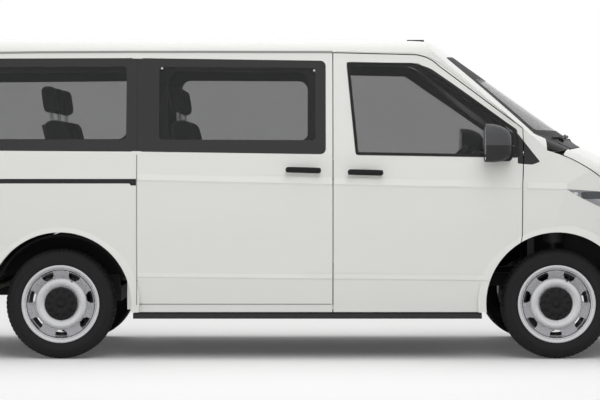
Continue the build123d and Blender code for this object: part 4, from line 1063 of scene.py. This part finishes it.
def wiper_blade(bm, points, half):
    """A blade of flat section along a line of points, with its clip rail above it."""
    rings = []
    last = len(points) - 1
    for i, p in enumerate(points):
        along = (points[min(i + 1, last)] - points[max(i - 1, 0)]).normalized()
        side = along.cross(Vector((math.copysign(1, p.x), 0, 0))).normalized()
        out = side.cross(along).normalized()
        end = 0.5 if i in (0, last) else 1
        foot, clip = side * half * end, side * half * end * 1.6
        rings.append([
            p - foot - out * 0.006, p + foot - out * 0.006, p + clip + out * 0.004,
            p + out * 0.008 * end, p - clip + out * 0.004,
        ])
    sweep(bm, rings)


def make_wipers():
    tree = tree_of("windscreen")
    steps = 16
    for name, y0, y1, pivot_y in (
        ("right", -0.700, -0.080, -0.600), ("left", -0.010, 0.640, 0.060),
    ):
        points = []
        for k in range(steps + 1):
            t = k / steps
            z = 1.334 + 0.008 * t + 0.004 * math.sin(math.pi * t)
            hit, normal = from_front(tree, y0 + (y1 - y0) * t, z)
            if hit is not None:
                points.append(hit + normal * BLADE_LIFT)
        bm = bmesh.new()
        wiper_blade(bm, points, 0.0050)
        foot, normal = from_front(tree_of("windscreen", "scuttle"), pivot_y, 1.322)
        rod(bm, foot - normal * 0.004, foot + normal * 0.014, 0.016, 20)
        knee = foot + normal * 0.012
        tip = points[len(points) // 2] + normal * 0.010
        rod(bm, knee, knee.lerp(tip, 0.35), 0.0085, 12)
        rod(bm, knee.lerp(tip, 0.32), tip, 0.0055, 12)
        piece(f"wiper_{name}", bm, black, "shell")


def make_window_buttons():
    """The small bright fixings at the upper corners of the sliding window."""
    tree = tree_of("side_glasses")
    for side_name, side in SIDES:
        bm = bmesh.new()
        for x, z in ((-0.836, 1.759), (0.086, 1.746)):
            hit, normal = from_beside(tree, side, x, z)
            rod(bm, hit - normal * 0.001, hit + normal * 0.003, 0.0065, 20)
        piece(f"window_fixings_{side_name}", bm, silver, "shell")


# Cabin
def make_dashboard_fittings():
    tilt = math.radians(14)
    lean_back, lean_forward = (Matrix.Rotation(angle, 3, "Y") for angle in (tilt, -tilt))
    blocks(
        "instrument_hood", trim, "shell",
        ((1.140, 0.230, 1.200), (1.330, 0.570, 1.262), 0.022, 4),
    )
    blocks(
        "centre_screen", frit, "shell",
        ((1.128, -0.115, 1.095), (1.150, 0.115, 1.215), 0.006, 3, lean_back),
    )
    slats = []
    for y in (-0.62, -0.20, 0.20, 0.63):
        for row in range(5):
            z = 1.085 + 0.016 * row
            slats.append(((1.122, y - 0.055, z), (1.142, y + 0.055, z + 0.007), 0.002))
    blocks("air_vents", black, "shell", *slats)
    blocks(
        "glove_box_lid", trim, "shell",
        ((1.128, -0.665, 0.925), (1.146, -0.275, 1.035), 0.010, 3, lean_forward),
    )
    bm = bmesh.new()
    rounded_block(bm, (1.040, -0.060, 0.900), (1.160, 0.150, 1.020), 0.030, 4)
    rod(bm, (1.070, 0.090, 1.010), (1.035, 0.090, 1.120), 0.008, 12)
    rounded_block(bm, (1.015, 0.068, 1.110), (1.055, 0.112, 1.158), 0.015, 4)
    piece("gear_lever", bm, trim, "shell")

    hit, normal = from_front(tree_of("windscreen"), 0, 1.745)
    foot = hit - normal * 0.009
    low, high = foot + Vector((-0.052, -0.115, -0.062)), foot + Vector((-0.026, 0.115, 0.002))
    bm = bmesh.new()
    rod(bm, foot, foot + Vector((-0.030, 0, -0.020)), 0.010, 14)
    rounded_block(bm, low, high, 0.010, 3)
    piece("inside_mirror", bm, black, "shell")


def make_door_cards():
    for side_name, side in SIDES:
        body = f"front_door_{side_name}"
        tree = tree_of(body)

        def block(low_x, high_x, low_z, high_z, out, radius, segments):
            """A block on the door's inner face, standing out from it into the cabin."""
            middle = ((low_x + high_x) / 2, 0, (low_z + high_z) / 2)
            inner = abs(hit_from(tree, middle, (0, side, 0))[0].y)
            low_y, high_y = sorted((side * (inner - out), side * (inner + 0.004)))
            return (low_x, low_y, low_z), (high_x, high_y, high_z), radius, segments

        blocks(
            f"door_armrest_{side_name}", trim, body,
            block(0.300, 0.820, 0.905, 0.965, 0.045, 0.014, 4),
            block(0.300, 1.150, 0.430, 0.540, 0.034, 0.014, 4),
        )
        blocks(
            f"door_inner_handle_{side_name}", chrome, body,
            block(0.950, 1.080, 1.050, 1.082, 0.012, 0.005, 3),
        )


VOXEL = 0.014
SWELL_FRAMES = 20
STITCH_WIDTH = 0.0065
CHANNEL_DEPTH, CROSS_DEPTH = 0.0075, 0.0060
BOLSTER_PLACE, BOLSTER_WIDTH, BOLSTER_RISE = 0.80, 0.045, 0.010
CROSS_REACH = 0.62  # share of the half width that a cross channel reaches
PAD_GAP = 0.008  # beside each pad


def swell(obj):
    """The places of the object's vertices after the cloth simulation."""
    scene = bpy.context.scene
    soft = obj.modifiers.new("cloth", "CLOTH")
    settings = soft.settings
    settings.quality = 5
    settings.use_pressure = True
    settings.uniform_pressure_force = 4
    settings.tension_stiffness = 25
    settings.compression_stiffness = 25
    settings.shear_stiffness = 15
    settings.bending_stiffness = 1.5
    settings.effector_weights.gravity = 0
    soft.point_cache.frame_start = 1
    soft.point_cache.frame_end = SWELL_FRAMES
    for step in range(1, SWELL_FRAMES + 1):
        scene.frame_set(step)
    swollen = baked(obj)
    obj.modifiers.clear()
    scene.frame_set(1)
    return [v.co.copy() for v in swollen.vertices]


def dip(distance):
    """1 on a sewn line and falling away beside it."""
    return math.exp(-((distance / STITCH_WIDTH) ** 2))


def pad_mesh(name, size, cap, channels=(), cross=()):
    """A crowned cushion about the origin: width along X, length along Y, thickness along Z.

    Pressure swells it by cloth simulation, the movement is capped, and then the sewn
    channels are drawn in on its upper face. They are given as shares of its half sizes.
    """
    width, length, thickness = size
    half_width, half_length = width / 2, length / 2
    room_to_swell, edge_radius = 0.010, 0.030
    half_thickness = (thickness - room_to_swell) / 2
    corner = Vector((half_width - room_to_swell, half_length - room_to_swell, half_thickness))
    bm = bmesh.new()
    rounded_block(bm, -corner, corner, edge_radius, 4)
    obj = scratch_object(name, bm)
    voxels = obj.modifiers.new("voxels", "REMESH")
    voxels.mode = "VOXEL"
    voxels.voxel_size = VOXEL
    even = baked(obj)
    obj.modifiers.clear()
    obj.data = even
    rest = [v.co.copy() for v in even.vertices]
    moved = swell(obj)
    for v, home, there in zip(even.vertices, rest, moved):
        move = there - home
        if move.length > cap:
            move *= cap / move.length
        v.co = home + move
    obj.modifiers.new("smooth", "SUBSURF").levels = 1
    fine = baked(obj)
    bpy.data.objects.remove(obj)
    for v in fine.vertices:
        x, y, z = v.co
        if z < 0:
            continue
        drop = sum(CHANNEL_DEPTH * dip(x - line * half_width) for line in channels)
        if abs(x) < CROSS_REACH * half_width:
            drop += sum(CROSS_DEPTH * dip(y - line * half_length) for line in cross)
        pull = 1 - 0.35 * (abs(x) / half_width) ** 4
        bolster = math.exp(-(((abs(x) - BOLSTER_PLACE * half_width) / BOLSTER_WIDTH) ** 2))
        v.co.z = z - drop * pull + BOLSTER_RISE * bolster * min(1, z / (thickness / 2))
    fine.shade_smooth()
    return fine


def seat_cover(name, half_panel):
    """Seat cloth with a lighter centre panel."""
    m = cloth.copy()
    m.name = name
    tree = m.node_tree
    r = Regions(m)
    mask = r.both(r.under(r.math("ABSOLUTE", r.place["x"]), half_panel), r.over(r.place["z"], 0.02))
    own = shader_of(m).inputs["Base Color"].links[0].from_socket
    lifted = mix_colors(tree, 1, own, (0.028, 0.029, 0.031, 1), "ADD")
    connect(tree, shader_of(m), {"Base Color": mix_colors(tree, mask, own, lifted)})
    return m


# Rows of seats: name, node it stands for, place of the backrest foot, middle and width of each seat
seat_rows = [
    ("front", "front_seats", 0.330, [(-0.520, 0.430), (-0.085, 0.430), (0.400, 0.500)]),
    ("second", "rear_seats", -0.660, [(-0.480, 0.450), (-0.020, 0.440), (0.430, 0.440)]),
    ("third", "rear_seats", -1.450, [(-0.450, 0.440), (0.0, 0.440), (0.450, 0.440)]),
]
cushion_bottom = 0.830
back_lean = math.radians(14)
back_height = 0.620
floor_top = 0.530
pad_width = 0.440
channel = 0.56


def make_seats():
    channels = (-channel, channel)
    pads = {
        "cushion": pad_mesh(
            "cushion_form", (pad_width, 0.430, 0.132), 0.016, channels, (-0.10, 0.42)
        ),
        "backrest": pad_mesh(
            "backrest_form", (pad_width, 0.636, 0.104), 0.016, channels, (-0.35, 0.10, 0.50)
        ),
        "headrest": pad_mesh("headrest_form", (0.250, 0.186, 0.084), 0.012),
    }
    cover = seat_cover("seat_cover", channel * pad_width / 2)
    for row, node, x, places in seat_rows:
        for number, (y, seat_width) in enumerate(places, 1):
            half = seat_width / 2 - PAD_GAP
            stretch = (seat_width - 2 * PAD_GAP) / pad_width
            make_pads(pads, cover, row, number, node, x, y, stretch)
            make_seat_frame(row, number, x, y, half)
    for form in pads.values():
        bpy.data.meshes.remove(form)


def make_pads(pads, cover, row, number, node, x, y, stretch):
    """A seat's cushion, backrest and headrest, set in their places."""
    lean_x, lean_z = math.sin(back_lean), math.cos(back_lean)
    back_middle = 0.333
    cushion_origin = (x + 0.288, y, cushion_bottom + 0.074)
    back_origin = (
        x + 0.062 - lean_x * back_middle, y, cushion_bottom + lean_z * back_middle + 0.008
    )
    head_origin = (
        x - back_height * math.tan(back_lean) + 0.044, y, cushion_bottom + back_height + 0.130
    )
    for part, origin, length_way, face_way, fit, finish in (
        ("cushion", cushion_origin, (1, 0, 0.035), (-0.035, 0, 1), stretch, cover),
        ("backrest", back_origin, (-lean_x, 0, lean_z), (lean_z, 0, lean_x), stretch, cover),
        ("headrest", head_origin, (-lean_x * 0.6, 0, 1), (1, 0, lean_x * 0.6), 1, cloth),
    ):
        obj = bpy.data.objects.new(f"{row}_{part}_{number}", pads[part].copy())
        bpy.context.scene.collection.objects.link(obj)
        obj.data.materials.clear()
        obj.data.materials.append(finish)
        length_way, face_way = Vector(length_way).normalized(), Vector(face_way).normalized()
        right = length_way.cross(face_way)
        turn = Matrix((right, length_way, face_way)).transposed().to_4x4()
        obj.matrix_world = Matrix.Translation(origin) @ turn @ Matrix.Diagonal((fit, 1, 1, 1))
        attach(obj, "shell")
        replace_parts(obj, node)


def make_seat_frame(row, number, x, y, half):
    """The seat's pan, base or legs, hinges and back sheet, and its headrest posts."""
    bottom = cushion_bottom
    top_x, top_z = x - back_height * math.tan(back_lean), bottom + back_height
    bm = bmesh.new()

    def block(from_x, to_x, y0, y1, low, high, radius, segments=2):
        rounded_block(bm, (x + from_x, y0, low), (x + to_x, y1, high), radius, segments)

    pan_half = half - 0.012
    block(0.060, 0.482, y - pan_half, y + pan_half, bottom - 0.012, bottom + 0.030, 0.014, 3)
    if row == "front":
        block(0.070, 0.450, y - half + 0.040, y + half - 0.040, floor_top, bottom, 0.016, 3)
    else:
        for leg_y in (y - half + 0.052, y + half - 0.052):
            block(0.060, 0.420, leg_y - 0.005, leg_y + 0.005, floor_top, bottom, 0.003)
            block(0.040, 0.440, leg_y - 0.018, leg_y + 0.018, floor_top, floor_top + 0.012, 0.003)
    for hinge_y in (y - half + 0.004, y + half - 0.004):
        start, end = ((x + 0.070, hinge_y + dy, bottom + 0.030) for dy in (-0.010, 0.010))
        rod(bm, start, end, 0.034, 24)
    sheet = [
        (x - 0.002, bottom + 0.020), (x + 0.022, bottom + 0.020),
        (top_x + 0.036, top_z - 0.030), (top_x + 0.014, top_z - 0.030),
    ]
    ends = (y - half + 0.020, y + half - 0.020)
    sweep(bm, [[Vector((px, py, pz)) for px, pz in sheet] for py in ends])
    piece(f"{row}_seat_frame_{number}", bm, trim, "shell")
    bm = bmesh.new()
    for post_y in (y - 0.060, y + 0.060):
        foot, top = (top_x + 0.056, post_y, top_z - 0.020), (top_x + 0.054, post_y, top_z + 0.060)
        rod(bm, foot, top, 0.006, 14)
    piece(f"{row}_headrest_posts_{number}", bm, chrome, "shell")


make_tyres()
make_steel_wheels()
make_wheel_details()
make_brakes()
make_body_lines()
make_handles()
make_mirrors()
make_headlamps()
make_plates_and_grip()
make_rear_wiper()
make_wipers()
make_window_buttons()
make_dashboard_fittings()
make_door_cards()
make_seats()


def studio():
    """White floor and backdrop, soft lamps and the camera at the photograph's view."""
    scene = bpy.context.scene
    scene.view_settings.view_transform = "Standard"
    world = bpy.data.worlds.new("studio")
    scene.world = world
    world.use_nodes = True
    tree = world.node_tree
    tree.nodes.clear()
    ray = add_node(tree, "ShaderNodeLightPath").outputs
    white = (1, 1, 1, 1)
    light_strength, seen_strength, floor_glow = 0.33, 1.0, 0.06
    lit, seen = (
        add_node(tree, "ShaderNodeBackground", {"Color": white, "Strength": strength})
        for strength in (light_strength, seen_strength)
    )
    direct = add_math(tree, "MAXIMUM", ray["Is Camera Ray"], ray["Is Glossy Ray"])
    direct = add_math(tree, "MAXIMUM", direct, ray["Is Transmission Ray"])
    mix = add_node(
        tree, "ShaderNodeMixShader", {"Fac": direct, 1: lit.outputs[0], 2: seen.outputs[0]}
    )
    add_node(tree, "ShaderNodeOutputWorld", {"Surface": mix.outputs[0]})

    bpy.ops.mesh.primitive_plane_add(size=400, location=(0, 0, 0))
    floor = bpy.context.object
    floor.name = "studio_floor"
    m = bpy.data.materials.new("studio_floor")
    m.use_nodes = True
    tree = m.node_tree
    view = add_node(tree, "ShaderNodeLightPath").outputs["Is Camera Ray"]
    connect(tree, shader_of(m), {
        "Base Color": (0.9, 0.9, 0.9, 1), "Roughness": 0.9, "Emission Color": white,
        "Emission Strength": add_math(tree, "MULTIPLY", view, floor_glow),
    })
    floor.data.materials.append(m)

    lamps = [
        # name, place, size, watts
        ("key_lamp", (1.5, -7.5, 6.5), 6.0, 235),
        ("fill_lamp", (-6.0, -6.0, 4.0), 6.0, 85),
        ("top_lamp", (0.0, 0.5, 7.5), 7.0, 330),
        ("back_lamp", (-2.0, 8.0, 5.0), 6.0, 90),
    ]
    lamp_target = Vector((0, 0, 0.8))
    for name, place, size, watts in lamps:
        data = bpy.data.lights.new(name, "AREA")
        data.shape = "SQUARE"
        data.size = size
        data.energy = watts
        lamp = bpy.data.objects.new(name, data)
        lamp.location = place
        aim = lamp_target - Vector(place)
        lamp.rotation_mode = "QUATERNION"
        lamp.rotation_quaternion = aim.to_track_quat("-Z", "Y")
        lamp.visible_glossy = False
        scene.collection.objects.link(lamp)

    # The photograph: seen squarely from the right, 3.612 m of the near side across the frame
    near_side_y, distance, width_seen = -0.952, 13.7, 3.612
    eye_height, aim_height = 1.2, 0.963
    data = bpy.data.cameras.new("camera")
    data.sensor_width = 36
    data.lens = data.sensor_width * distance / width_seen
    camera = bpy.data.objects.new("camera", data)
    camera.location = (0, near_side_y - distance, eye_height)
    aim = Vector((0, near_side_y, aim_height)) - camera.location
    camera.rotation_mode = "QUATERNION"
    camera.rotation_quaternion = aim.to_track_quat("-Z", "Y")
    data.clip_end = 500
    scene.collection.objects.link(camera)
    scene.camera = camera


studio()
